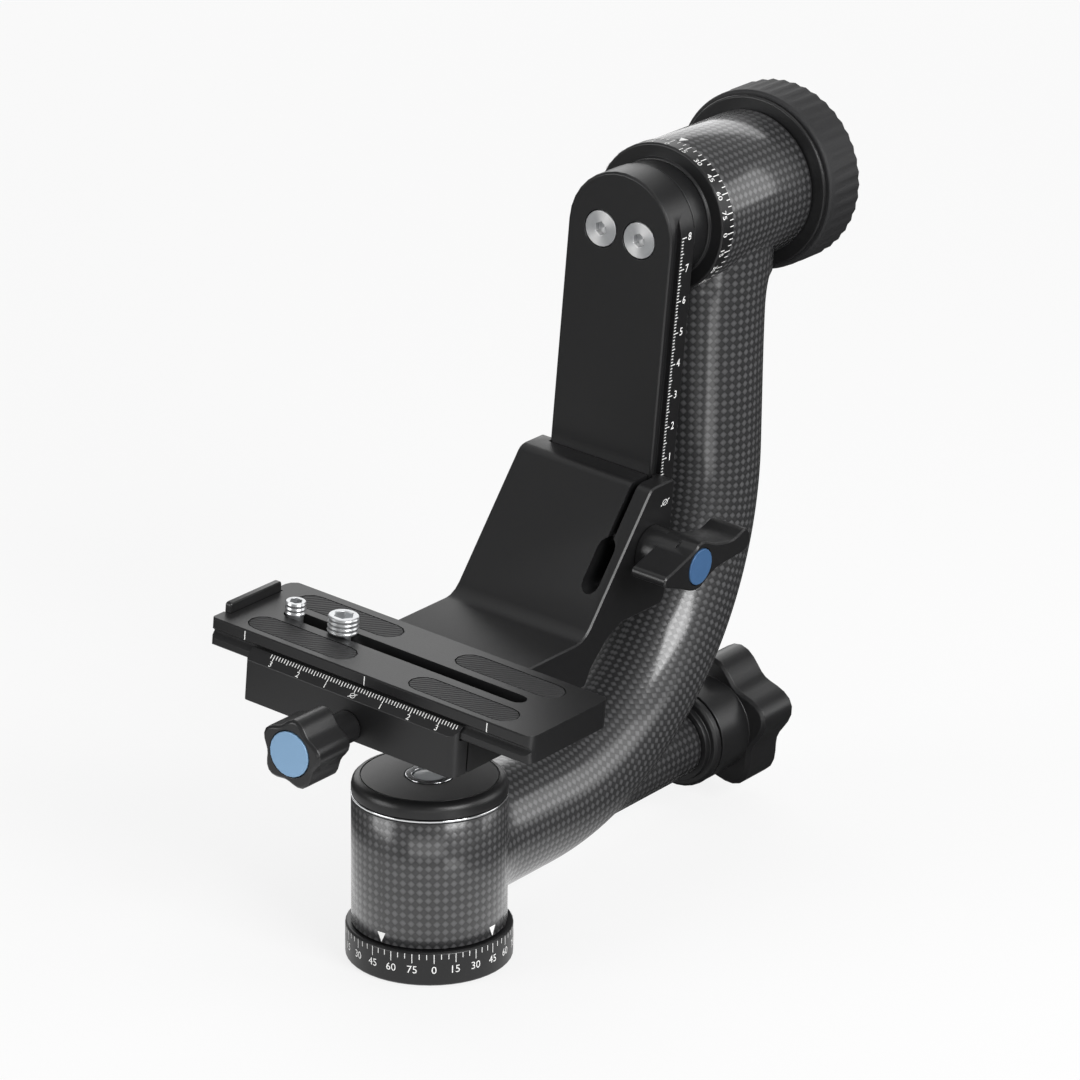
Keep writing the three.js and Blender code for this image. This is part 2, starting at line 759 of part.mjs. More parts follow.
const housingBore = bar(
  housingBoreRadius, housingStartX - cutMargin, housingEndX + cutMargin, mediumSides, axisX,
  [0, 0, tiltAxisHeight],
);
const stubBore = bar(
  stubBoreRadius, stubBoreStartX, stubEndX + cutMargin, mediumSides, axisX, [0, 0, stubHeight],
);
const outerTube = cut(solid(flared(armTube(armRadius, armSides, armStep))), cut(sleeveZone, insideSleeve));
const carbonArm = cut(
  join(outerTube, sleeveBody, housingBody, stubBody),
  solid(armTube(armRadius - armWall, armBoreSides, armBoreStep)),
  sleeveBore,
  housingBore,
  stubBore,
);

// Collar that closes the stub and guides the pan-lock screw

const collarStart = stubEndX + seatGap;
const collarStep = collarStart + collarNeckLength;
const collarEnd = collarStep + collarLength;
const stubCollar = turned([
  [collarBoreRadius, stubEndX - collarPlugLength],
  [stubBoreRadius - seatGap, stubEndX - collarPlugLength],
  [stubBoreRadius - seatGap, collarStart],
  [collarNeckRadius, collarStart],
  [collarNeckRadius, collarStep],
  [collarRadius - collarRound, collarStep],
  [collarRadius, collarStep + collarRound],
  [collarRadius, collarEnd - collarRound],
  [collarRadius - collarRound, collarEnd],
  [collarBoreRadius, collarEnd],
], mediumSides, axisX).translate([0, 0, stubHeight]);

// Pan lock

const panShoeStart = spindleRadius + seatGap;
const panShoeEnd = panShoeStart + panShoeLength;
const panShoe = bar(panShoeRadius, panShoeStart, panShoeEnd, boreSides, axisX, [0, 0, stubHeight]);
const panKnobStart = collarEnd + seatGap;
const panKnobHubEnd = panKnobStart + panHubLength;
const panLobeStart = panKnobHubEnd + panLobeSetback;
const panLobeEnd = panLobeStart + panLobeDepth;
const panRodEnd = panKnobHubEnd + panLobeDepth * panRodSocketShare;
const panRodStart = panShoeEnd + seatGap;
const panRod = bar(panRodRadius, panRodStart, panRodEnd, boreSides, axisX, [0, 0, stubHeight]);
const panKnobCapStart = panLobeEnd - panKnobCapThickness;
const panLobeSamples = panLobeCount * panSamplesPerLobe;
const panKnob = cut(
  join(
    prismAlongX(
      lobedOutline(panLobeMeanRadius, panLobeSwell, panLobeCount, panLobeTurn, panLobeSamples),
      panLobeStart, panLobeDepth, panLobeBevel,
    ),
    bar(panHubRadius, panKnobStart, panLobeStart + panLobeSetback, mediumSides, axisX),
  ),
  bar(panRodRadius + seatGap, panKnobStart - cutMargin, panRodEnd + seatGap, boreSides, axisX),
  bar(panKnobCapRadius + seatGap, panKnobCapStart - seatGap, panLobeEnd + cutMargin, smallSides, axisX),
).translate([0, 0, stubHeight]);
const panKnobCap = bar(panKnobCapRadius, panKnobCapStart, panLobeEnd, smallSides, axisX, [0, 0, stubHeight]);

// Tilt bearings and liner in the housing

const housingLinerRadius = housingBoreRadius - seatGap;
const housingLinerBore = housingLinerRadius - linerThickness;
const housingLiner = ring(
  housingLinerRadius, housingLinerBore, housingStartX + housingLinerInset, housingEndX - housingLinerInset,
  mediumSides, axisX,
);

function tiltBearing(start) {
  return ring(
    housingLinerBore - seatGap, tiltShaftRadius + runningGap, start, start + tiltBearingLength,
    mediumSides, axisX,
  );
}

const tiltBearingInner = tiltBearing(housingStartX + tiltBearingInset);
const tiltBearingOuter = tiltBearing(housingEndX - tiltBearingInset - tiltBearingLength);

// Tilt lock knob: core, ribbed grip, end cap and screw

const tiltKnobLipEnd = tiltKnobFrontX + tiltKnobLipLength;
const tiltScrewHole = tiltScrewRadius + seatGap;
const tiltScrewEnd = tiltKnobBackX - seatGap;
const tiltKnobCore = turned([
  [tiltScrewHole, tiltKnobFrontX],
  [tiltKnobRadius - tiltKnobChamfer, tiltKnobFrontX],
  [tiltKnobRadius, tiltKnobFrontX + tiltKnobChamfer],
  [tiltKnobRadius, tiltKnobLipEnd],
  [tiltKnobSeatRadius, tiltKnobLipEnd],
  [tiltKnobSeatRadius, tiltKnobBackX],
  [tiltScrewHole, tiltKnobBackX],
], largeSides, axisX);
const tiltScrewStart = tiltShaftEndX - tiltScrewReach;
const tiltLockScrew = bar(tiltScrewRadius, tiltScrewStart, tiltScrewEnd, boreSides, axisX);

const gripStart = tiltKnobLipEnd + seatGap;
const gripEnd = gripStart + gripLength;
const gripProfile = [
  [tiltKnobSeatRadius + seatGap, gripStart],
  [gripMeanRadius - gripFrontRound, gripStart],
  [gripMeanRadius, gripStart + gripFrontRound],
  [gripMeanRadius, gripStart + gripRingLength],
  [gripMeanRadius, gripStart + gripRingLength + gripRibRise],
  [gripMeanRadius, gripEnd - gripEdgeRound],
  [gripMeanRadius - gripEdgeRound, gripEnd],
  [tiltKnobSeatRadius + seatGap, gripEnd],
];

function ribbedGrip() {
  const loop = [...gripProfile, gripProfile[0]].map(([r, h]) => new THREE.Vector2(r, h));
  const geometry = new THREE.LatheGeometry(loop, gripRibCount * gripSamplesPerRib);
  const points = geometry.attributes.position;
  for (let i = 0; i < points.count; i += 1) {
    const [x, y, z] = [points.getX(i), points.getY(i), points.getZ(i)];
    const radius = Math.hypot(x, z);
    const onRing = y < gripStart + gripRingLength + weldTolerance;
    if (onRing || radius < gripMeanRadius - gripEdgeRound - weldTolerance) continue;
    const rib = Math.cos(gripRibCount * Math.atan2(z, x));
    const scale = 1 + (gripSwell * rib) / radius;
    points.setXYZ(i, x * scale, y, z * scale);
  }
  geometry.applyQuaternion(new THREE.Quaternion().setFromUnitVectors(axisY, axisX));
  return solid(geometry);
}

const tiltKnobGrip = ribbedGrip();
const tiltCapStart = tiltKnobBackX + seatGap;
const tiltKnobCap = turned([
  [0, tiltCapStart],
  [tiltCapRadius, tiltCapStart],
  [tiltCapRadius, tiltCapStart + tiltCapThickness - tiltCapDish],
  [tiltCapRadius - tiltCapDish, tiltCapStart + tiltCapThickness],
  [0, tiltCapStart + tiltCapThickness],
], largeSides, axisX);

// Hanger: flange with its shaft, neck disc, bracket and the two screws that join them

const bracketScrewShifts = [-bracketScrewOffset, bracketScrewOffset].map((y) => [0, y, bracketScrewHeight]);
const bracketScrewHoles = bracketScrewShifts.map((shift) => (
  bar(bracketScrewShankRadius + seatGap, bracketFrontX, bracketScrewEndX + seatGap, boreSides, axisX, shift)
));

const tiltFlange = cut(
  turned([
    [0, bossFrontX],
    [flangeBossRadius - flangeBossHeight / 2, bossFrontX],
    [flangeBossRadius, bossFrontX + flangeBossHeight / 2],
    [flangeBossRadius, flangeFrontX],
    [flangeRadius - flangeFrontChamfer, flangeFrontX],
    [flangeRadius, flangeFrontX + flangeFrontChamfer],
    [flangeRadius, flangeBackX - flangeBackChamfer],
    [flangeRadius - flangeBackChamfer, flangeBackX],
    [tiltShaftRadius, flangeBackX],
    [tiltShaftRadius, tiltShaftEndX],
    [tiltShaftBoreRadius, tiltShaftEndX],
    [tiltShaftBoreRadius, tiltShaftEndX - tiltShaftBoreLength],
    [0, tiltShaftEndX - tiltShaftBoreLength],
  ], largeSides, axisX),
  ...bracketScrewHoles,
);

const neckDisc = cut(
  bar(neckRadius, bracketBackX + seatGap, bossFrontX - seatGap, mediumSides, axisX),
  ...bracketScrewHoles,
);

const bracketArch = Array.from({ length: mediumSides / 2 + 1 }, (_, i) => {
  const angle = (2 * Math.PI * i) / mediumSides;
  return [bracketHalfWidth * Math.cos(angle), bracketHalfWidth * Math.sin(angle)];
});
const bracketOutline = roundedOutline([
  ...bracketArch,
  [-bracketHalfWidth, bracketBottom, bracketFootRound],
  [bracketHalfWidth, bracketBottom, bracketFootRound],
]);
const railTaper = bracketHalfWidth - railNeckHalfWidth;

function railGroove(side) {
  return prismAlongZ([
    new THREE.Vector2(railTaperX - cutMargin, side * (bracketHalfWidth + cutMargin)),
    new THREE.Vector2(railTaperX + railTaper, side * railNeckHalfWidth),
    new THREE.Vector2(railBackX, side * railNeckHalfWidth),
    new THREE.Vector2(railBackX, side * (bracketHalfWidth + cutMargin)),
  ], bracketBottom - cutMargin, railTop);
}

const bracketHeadX = bracketFrontX + bracketScrewSunk;
const bracketHeadEnd = bracketHeadX + bracketScrewHeadHeight;
const bracketHeadSeats = bracketScrewShifts.map((shift) => bar(
  bracketScrewHeadRadius + seatGap, bracketFrontX - cutMargin, bracketHeadEnd + seatGap,
  smallSides, axisX, shift,
));
const bracket = cut(
  prismAlongX(bracketOutline, bracketFrontX, bracketBackX - bracketFrontX, bracketBevel),
  railGroove(1),
  railGroove(-1),
  ...bracketHeadSeats,
  ...bracketScrewHoles,
);

function bracketScrew(shift) {
  return cut(
    join(
      bar(bracketScrewHeadRadius, bracketHeadX, bracketHeadEnd, smallSides, axisX),
      bar(bracketScrewShankRadius, bracketHeadX, bracketScrewEndX, boreSides, axisX),
    ),
    bar(hexSocketRadius, bracketHeadX - cutMargin, bracketHeadX + hexSocketDepth, hexSides, axisX),
  ).translate(shift);
}

// Cradle on the rail

const tongueTop = platformBottom + tongueThickness;
const tongueEndX = clampCentreX - tongueReach;
const platformEndX = clampCentreX + rearJawHalfWidth + seatGap;
const cradleOutline = roundedOutline([
  [cradleBackX, cradleCrest, cradleCornerRound],
  [cradleCrestX, cradleCrest, cradleCrestRound],
  [cradleSlopeFootX, platformTop, cradleSlopeFootRound],
  [platformEndX, platformTop, cradleCornerRound],
  [platformEndX, tongueTop],
  [tongueEndX, tongueTop, tongueRound],
  [tongueEndX, platformBottom, tongueRound],
  ...haunchPlaces.map(([reach, rise], i) => [bracketFrontX - reach, platformBottom + rise, haunchRounds[i]]),
  [cradleBackX, sliderBottom, sliderFootRound],
]);
const channelFrontX = bracketFrontX - seatGap;
const channelHalfWidth = bracketHalfWidth + seatGap;
const channelNeck = railNeckHalfWidth + seatGap;
const lipOffset = seatGap * (Math.SQRT2 - 1);
const channelOutline = [
  [channelFrontX, -channelHalfWidth],
  [railTaperX + lipOffset, -channelHalfWidth],
  [railTaperX + railTaper + lipOffset, -channelNeck],
  [cradleBackX + cutMargin, -channelNeck],
  [cradleBackX + cutMargin, channelNeck],
  [railTaperX + railTaper + lipOffset, channelNeck],
  [railTaperX + lipOffset, channelHalfWidth],
  [channelFrontX, channelHalfWidth],
].map(([x, y]) => new THREE.Vector2(x, y));
const railChannel = prismAlongZ(channelOutline, sliderBottom - cutMargin, cradleCrest + cutMargin);
const splitNarrow = block(
  [cradleSlopeFootX, splitCentre - splitWidth / 2, splitWideTop - splitWideWidth / 2],
  [channelFrontX + cutMargin / 2, splitCentre + splitWidth / 2, cradleCrest + cutMargin],
);
const splitWide = prismAlongX(
  roundedRectangle(
    [splitCentre, (splitWideTop + splitWideBottom) / 2], [splitWideWidth, splitWideTop - splitWideBottom],
    splitWideWidth / 2,
  ),
  cradleSlopeFootX, channelFrontX - cradleSlopeFootX,
);
const wingScrewEnd = cradleRight + wingScrewReach;
const wingScrewHole = bar(
  wingScrewRadius + seatGap, cradleRight - cutMargin, wingScrewEnd + seatGap, boreSides, axisY,
  [wingAxisX, 0, wingAxisHeight],
);
const clampBoltShifts = [-clampBoltSpread, clampBoltSpread].map((y) => (
  [clampCentreX + clampBoltOffset, clampCentreY + y, 0]
));
const clampBoltHoles = clampBoltShifts.map((shift) => (
  bar(clampBoltRadius + seatGap, platformBottom - cutMargin, clampBoltTop + seatGap, boreSides, axisZ, shift)
));
const clampBoltHeadBottom = platformBottom + clampBoltSunk;
const clampBoltHeadTop = clampBoltHeadBottom + clampBoltHeadHeight;
const clampBoltSeats = clampBoltShifts.map((shift) => bar(
  clampBoltHeadRadius + seatGap, platformBottom - cutMargin, clampBoltHeadTop + seatGap,
  smallSides, axisZ, shift,
));
const cradle = cut(
  prismAlongY(cradleOutline, cradleRight, cradleLeft, cradleBevel),
  railChannel,
  splitNarrow,
  splitWide,
  wingScrewHole,
  ...clampBoltHoles,
  ...clampBoltSeats,
);

function clampBolt(shift) {
  return cut(
    join(
      bar(clampBoltHeadRadius, clampBoltHeadBottom, clampBoltHeadTop, smallSides),
      bar(clampBoltRadius, clampBoltHeadBottom, clampBoltTop, boreSides),
    ),
    bar(hexSocketRadius, platformBottom - cutMargin, clampBoltHeadBottom + hexSocketDepth, hexSides),
  ).translate(shift);
}

// Wing knob on the cradle

const wingHubStart = wingFaceY + wingDepth;
const wingShift = [wingAxisX, 0, wingAxisHeight];
const wingPoints = wingOutline.map(([x, z]) => new THREE.Vector2(x, z));
const wingCurve = new THREE.SplineCurve([...wingPoints, wingPoints[0]]);
const wingSamples = wingPoints.length * wingSamplesPerPoint;
const wingSmooth = wingCurve.getPoints(wingSamples).slice(0, wingSamples);
const wingSocketEnd = wingFaceY + wingDepth * wingSocketShare;
const wingKnob = cut(
  join(
    prismAlongY(wingSmooth, wingFaceY, wingHubStart, wingBevel),
    bar(wingHubRadius, wingFaceY + wingDepth / 2, cradleRight - seatGap, smallSides, axisY),
  ),
  bar(wingScrewRadius + seatGap, wingSocketEnd - seatGap, cradleRight + cutMargin, boreSides, axisY),
  bar(wingCapRadius + seatGap, wingFaceY - cutMargin, wingFaceY + wingCapRecess, smallSides, axisY),
).translate(wingShift);
const wingCap = bar(
  wingCapRadius, wingFaceY - wingCapProud, wingFaceY + wingCapRecess - seatGap, smallSides, axisY, wingShift,
);
const wingScrew = bar(wingScrewRadius, wingSocketEnd, wingScrewEnd, boreSides, axisY, wingShift);

// Clamp body with the fixed jaw, and the sliding jaw

const clampRight = clampCentreY - clampLength / 2;
const clampLeft = clampCentreY + clampLength / 2;
const outward = (side) => ([offset, z, radius = 0]) => [clampCentreX + side * offset, z, radius];
const clampBodyOutline = roundedOutline([
  [-jawSplitOffset + jawSplitGap, clampBottom],
  [rearJawHalfWidth, clampBottom],
  [rearJawHalfWidth, jawShoulder],
  [lipTopOffset, lipTop],
  [lipTipOffset, lipTop],
  [lipTipOffset, lipTipBottom],
  [lipRootOffset, lipRoot],
  [lipRootOffset, clampFloor],
  [-jawSplitOffset + jawSplitGap, clampFloor],
].map(outward(1)));
const jawOutline = roundedOutline([
  [jawSplitOffset, clampBottom],
  [clampHalfWidth, clampBottom],
  [clampHalfWidth, jawShoulder],
  [lipTopOffset, lipTop],
  [lipTipOffset, lipTop],
  [lipTipOffset, lipTipBottom],
  [lipRootOffset, lipRoot],
  [lipRootOffset, clampFloor],
  [jawSplitOffset, clampFloor],
].map(outward(-1)));
const clampFootprint = prismAlongZ(roundedRectangle(
  [clampCentreX + (rearJawHalfWidth - clampHalfWidth) / 2, clampCentreY],
  [clampHalfWidth + rearJawHalfWidth, clampLength],
  jawRightRound, jawLeftRound,
), clampBottom - cutMargin, lipTop + cutMargin);
const guidePinShifts = [-guidePinSpread, guidePinSpread].map((y) => [0, clampCentreY + y, guidePinHeight]);
const jawOuterX = clampCentreX - clampHalfWidth;
const guidePinStart = jawOuterX + guidePinInset;
const guidePinEnd = guidePinStart + guidePinLength;
const guidePinHoles = guidePinShifts.map((shift) => (
  bar(guidePinRadius + seatGap, guidePinStart - seatGap, guidePinEnd + seatGap, boreSides, axisX, shift)
));
const clampScrewShift = [0, clampCentreY, clampKnobHeight];
const clampScrewEndX = clampCentreX + clampScrewOffset;
const clampScrewHole = bar(
  clampScrewRadius + seatGap, jawOuterX - cutMargin, clampScrewEndX + seatGap, boreSides, axisX,
  clampScrewShift,
);
const clampBody = cut(
  prismAlongY(clampBodyOutline, clampRight, clampLeft).intersect(clampFootprint),
  ...guidePinHoles,
  clampScrewHole,
  ...clampBoltHoles,
);
const clampJaw = cut(
  prismAlongY(jawOutline, clampRight, clampLeft).intersect(clampFootprint),
  ...guidePinHoles,
  clampScrewHole,
);
const guidePin = (shift) => bar(guidePinRadius, guidePinStart, guidePinEnd, boreSides, axisX, shift);

// Clamp knob

const clampKnobFaceX = jawOuterX - clampKnobReach;
const clampKnobSocket = clampKnobFaceX + clampKnobLobeDepth * clampScrewSocketShare;
const clampKnobSamples = clampKnobLobeCount * clampSamplesPerLobe;
const clampKnobRecess = clampKnobFaceX + clampKnobCapRecess;
const clampKnob = cut(
  join(
    prismAlongX(
      lobedOutline(
        clampKnobLobeMeanRadius, clampKnobLobeSwell, clampKnobLobeCount, clampKnobLobeTurn, clampKnobSamples,
      ),
      clampKnobFaceX, clampKnobLobeDepth, clampKnobBevel,
    ),
    bar(clampKnobNeckRadius, clampKnobSocket, jawOuterX - seatGap, smallSides, axisX),
  ),
  bar(clampScrewRadius + seatGap, clampKnobSocket - seatGap, jawOuterX, boreSides, axisX),
  bar(clampKnobCapRadius + seatGap, clampKnobFaceX - cutMargin, clampKnobRecess, smallSides, axisX),
).translate(clampScrewShift);
const clampKnobCap = bar(
  clampKnobCapRadius, clampKnobFaceX - clampKnobCapProud, clampKnobRecess - seatGap, smallSides, axisX,
  clampScrewShift,
);
const clampScrew = bar(clampScrewRadius, clampKnobSocket, clampScrewEndX, boreSides, axisX, clampScrewShift);

// Camera plate with its slot, pads, stop lip and safety pin

const plateHalfOutline = [
  [plateHalfWidth - plateEdgeChamfer, plateBottom],
  [plateHalfWidth, plateBottom + plateEdgeChamfer],
  [plateHalfWidth, grooveBottom],
  [plateHalfWidth - grooveDepth, grooveInnerBottom],
  [plateHalfWidth - grooveDepth, grooveInnerTop],
  [plateHalfWidth, grooveTop],
  [plateHalfWidth, plateTop - plateEdgeChamfer],
  [plateHalfWidth - plateEdgeChamfer, plateTop],
];
const plateOutline = roundedOutline([
  ...plateHalfOutline.map(outward(1)),
  ...[...plateHalfOutline].reverse().map(outward(-1)),
]);
const plateFootprint = prismAlongZ(roundedOutline([
  [plateFrontX, plateRight, plateRightRound],
  [plateRearX, plateRight, plateRightRound],
  [plateRearX, plateLeft, plateRearRound],
  [plateFrontX, plateLeft, plateFrontRound],
]), plateBottom - cutMargin, plateTop + cutMargin);

function stadium(centreX, [highY, lowY], width, lowZ, highZ) {
  const outline = roundedRectangle([centreX, (highY + lowY) / 2], [width, highY - lowY], width / 2);
  return prismAlongZ(outline, lowZ, highZ);
}

const padPlaces = [
  ['pad_front_left', padFrontX, padLeftSpan],
  ['pad_front_right', padFrontX, padRightSpan],
  ['pad_rear_left', padRearX, padLeftSpan],
  ['pad_rear_right', padRearX, padRightSpan],
];
const padSeats = padPlaces.map(([, x, span]) => stadium(
  x, [span[0] + seatGap, span[1] - seatGap], padWidth + 2 * seatGap, plateTop - padThickness - seatGap,
  plateTop + cutMargin,
));
const pads = padPlaces.map(([name, x, span]) => piece(
  name, stadium(x, span, padWidth, plateTop - padThickness, plateTop), rubber,
));
const slotLedgeReach = slotLedgeHalfWidth - slotHalfWidth;
const slotSpan = [slotLeft, slotRight];
const slotLedgeSpan = [slotLeft + slotLedgeReach, slotRight - slotLedgeReach];
const plateSlot = stadium(slotX, slotSpan, 2 * slotHalfWidth, plateBottom - cutMargin, plateTop + cutMargin);
const slotLedge = stadium(
  slotX, slotLedgeSpan, 2 * slotLedgeHalfWidth, plateBottom - cutMargin, plateBottom + slotLedgeDepth,
);
const stopScrewXs = [stopLipFrontX + stopScrewInset, stopLipRearX - stopScrewInset];
const stopFaceY = plateLeft - stopLipThickness;
const stopScrewEndY = plateLeft;
const stopScrewStartY = stopScrewEndY - stopScrewLength;
const stopLipNotch = block(
  [stopLipFrontX - seatGap, stopFaceY - seatGap, stopLipBottom - seatGap],
  [stopLipRearX + seatGap, plateLeft + cutMargin, plateTop + cutMargin],
);
const stopScrewHole = (x) => bar(
  stopScrewRadius + seatGap, stopScrewStartY - seatGap, stopScrewEndY + cutMargin, boreSides, axisY,
  [x, 0, stopScrewHeight],
);
const stopScrewSeat = (x) => bar(
  stopScrewHeadRadius + seatGap, stopScrewEndY - stopScrewHeadDepth - seatGap, stopScrewEndY + cutMargin,
  boreSides, axisY, [x, 0, stopScrewHeight],
);
const stopScrew = (x) => join(
  bar(stopScrewRadius, stopScrewStartY, stopScrewEndY, boreSides, axisY),
  bar(stopScrewHeadRadius, stopScrewEndY - stopScrewHeadDepth, stopScrewEndY, boreSides, axisY),
).translate([x, 0, stopScrewHeight]);
const safetyPinHole = bar(
  safetyPinRadius + seatGap, plateBottom - cutMargin, plateBottom + safetyPinSeat + seatGap, boreSides, axisZ,
  [safetyPinX, safetyPinY, 0],
);
const safetyPin = bar(
  safetyPinRadius, plateBottom - safetyPinProud, plateBottom + safetyPinSeat, boreSides, axisZ,
  [safetyPinX, safetyPinY, 0],
);
const plate = cut(
  prismAlongY(plateOutline, plateRight, plateLeft).intersect(plateFootprint),
  plateSlot,
  slotLedge,
  ...padSeats,
  stopLipNotch,
  ...stopScrewXs.map(stopScrewHole),
  safetyPinHole,
);
const stopLip = cut(
  prismAlongY(
    roundedRectangle(
      [(stopLipFrontX + stopLipRearX) / 2, (stopLipTop + stopLipBottom) / 2],
      [stopLipRearX - stopLipFrontX, stopLipTop - stopLipBottom], stopLipRound,
    ),
    stopFaceY, plateLeft, stopLipBevel,
  ),
  ...stopScrewXs.map(stopScrewHole),
  ...stopScrewXs.map(stopScrewSeat),
);

// Camera screws: head under the ledge, thin stem in the slot, ridged thread above the plate

function threadRidges(radius, bottom, top) {
  const ridges = Math.round((top - bottom) / screwPitch);
  const pitch = (top - bottom) / ridges;
  return Array.from({ length: ridges }, (_, i) => [
    [radius * screwCrestShare, bottom + i * pitch],
    [radius, bottom + (i + 1 / 2) * pitch],
  ]).flat();
}

const screwHeadTop = plateBottom + slotLedgeDepth - seatGap;
const screwHeadBottom = screwHeadTop - screwHeadHeight;

const driverSlot = block(
  [-screwHeadRadius - cutMargin, -screwSlotWidth / 2, screwHeadBottom - cutMargin],
  [screwHeadRadius + cutMargin, screwSlotWidth / 2, screwHeadBottom + screwSlotDepth / 2],
);

function cameraScrew(radius, reach, y) {
  const threadBottom = plateTop + seatGap;
  const top = plateTop + reach;
  const body = turned([
    [0, screwHeadBottom + screwSlotDepth],
    [screwHeadRadius / 2, screwHeadBottom + screwSlotDepth],
    [screwHeadRadius / 2, screwHeadBottom],
    [screwHeadRadius, screwHeadBottom],
    [screwHeadRadius, screwHeadTop],
    [screwStemRadius, screwHeadTop],
    [screwStemRadius, threadBottom],
    ...threadRidges(radius, threadBottom, top),
    [radius * screwCrestShare, top],
    [0, top],
  ], smallSides);
  const socket = bar(radius * screwSocketShare, top - screwSocketDepth, top + cutMargin, hexSides);
  return cut(body, driverSlot, socket).translate([slotX, y, 0]);
}

const smallScrew = cameraScrew(smallScrewRadius, smallScrewReach, smallScrewY);
const largeScrew = cameraScrew(largeScrewRadius, largeScrewReach, largeScrewY);

// Assembly

const plateGroup = assembly(
  'camera_plate_group',
  piece('camera_plate', plate, blackMetal),
  piece('stop_lip', stopLip, blackMetal),
  ...stopScrewXs.map((x, i) => piece(`stop_screw_${i + 1}`, stopScrew(x), steel)),
  piece('safety_pin', safetyPin, steel),
  ...pads,
  assembly('small_screw_group', piece('camera_screw_small', smallScrew, steel)),
  assembly('large_screw_group', piece('camera_screw_large', largeScrew, steel)),
);

const jawGroup = assembly(
  'jaw_group',
  piece('clamp_jaw', clampJaw, blackMetal),
  piece('jaw_pin_right', guidePin(guidePinShifts[0]), steel),
  piece('jaw_pin_left', guidePin(guidePinShifts[1]), steel),
  assembly(
    'clamp_knob_group',
    piece('clamp_knob', clampKnob, blackPlastic),
    piece('clamp_knob_cap', clampKnobCap, paleBlue),
    piece('clamp_knob_screw', clampScrew, steel),
  ),
);

const wingGroup = assembly(
  'wing_knob_group',
  piece('wing_knob', wingKnob, blackPlastic),
  piece('wing_knob_cap', wingCap, darkBlue),
  piece('wing_knob_screw', wingScrew, steel),
);

const cradleGroup = assembly(
  'cradle_group',
  piece('cradle', cradle, blackMetal),
  piece('clamp_body', clampBody, blackMetal),
  piece('clamp_bolt_right', clampBolt(clampBoltShifts[0]), steel),
  piece('clamp_bolt_left', clampBolt(clampBoltShifts[1]), steel),
  wingGroup,
  jawGroup,
  plateGroup,
);

const hangerGroup = assembly(
  'hanger_group',
  piece('tilt_flange', tiltFlange, blackMetal),
  piece('neck_disc', neckDisc, blackMetal),
  piece('hanger_bracket', bracket, blackMetal),
  piece('bracket_screw_right', bracketScrew(bracketScrewShifts[0]), steel),
  piece('bracket_screw_left', bracketScrew(bracketScrewShifts[1]), steel),
  cradleGroup,
);
hangerGroup.rotation.x = THREE.MathUtils.degToRad(hangerTurnDegrees);

const tiltLockGroup = assembly(
  'tilt_lock_group',
  piece('tilt_knob_core', tiltKnobCore, blackMetal),
  piece('tilt_knob_grip', tiltKnobGrip, rubber),
  piece('tilt_knob_cap', tiltKnobCap, blackMetal),
  piece('tilt_lock_screw', tiltLockScrew, steel),
);

const tiltAxisGroup = assembly(
  'tilt_axis_group',
  piece('housing_liner', housingLiner, blackMetal),
  piece('tilt_bearing_inner', tiltBearingInner, bronze),
  piece('tilt_bearing_outer', tiltBearingOuter, bronze),
  tiltLockGroup,
  hangerGroup,
);
tiltAxisGroup.position.z = tiltAxisHeight;

const panLockGroup = assembly(
  'pan_lock_group',
  piece('pan_knob', panKnob, blackPlastic),
  piece('pan_knob_cap', panKnobCap, darkBlue),
  piece('pan_lock_rod', panRod, steel),
);

const armGroup = assembly(
  'arm_group',
  piece('carbon_arm', carbonArm, carbon),
  piece('sleeve_liner', sleeveLiner, blackMetal),
  piece('pan_bearing_lower', panBearing(lowerBearingBottom), bronze),
  piece('pan_bearing_upper', panBearing(upperBearingBottom), bronze),
  piece('cap_trim_ring', trimRing, brightTrim),
  piece('base_cap', baseCap, blackMetal),
  piece('level_bezel', levelBezel, brightTrim),
  piece('level_vial', levelVial, paleVial),
  piece('stub_collar', stubCollar, blackMetal),
  piece('pan_brake_shoe', panShoe, bronze),
  panLockGroup,
  tiltAxisGroup,
);

const head = assembly(
  'gimbal_head',
  piece('scale_ring', scaleRing, blackMetal),
  piece('base_hub', baseHub, blackMetal),
  piece('pan_spindle', panSpindle, steel),
  piece('spindle_nut', spindleNut, steel),
  armGroup,
);

export default head;
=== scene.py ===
import json
import math

import bmesh
import bpy
from mathutils import Matrix, Vector

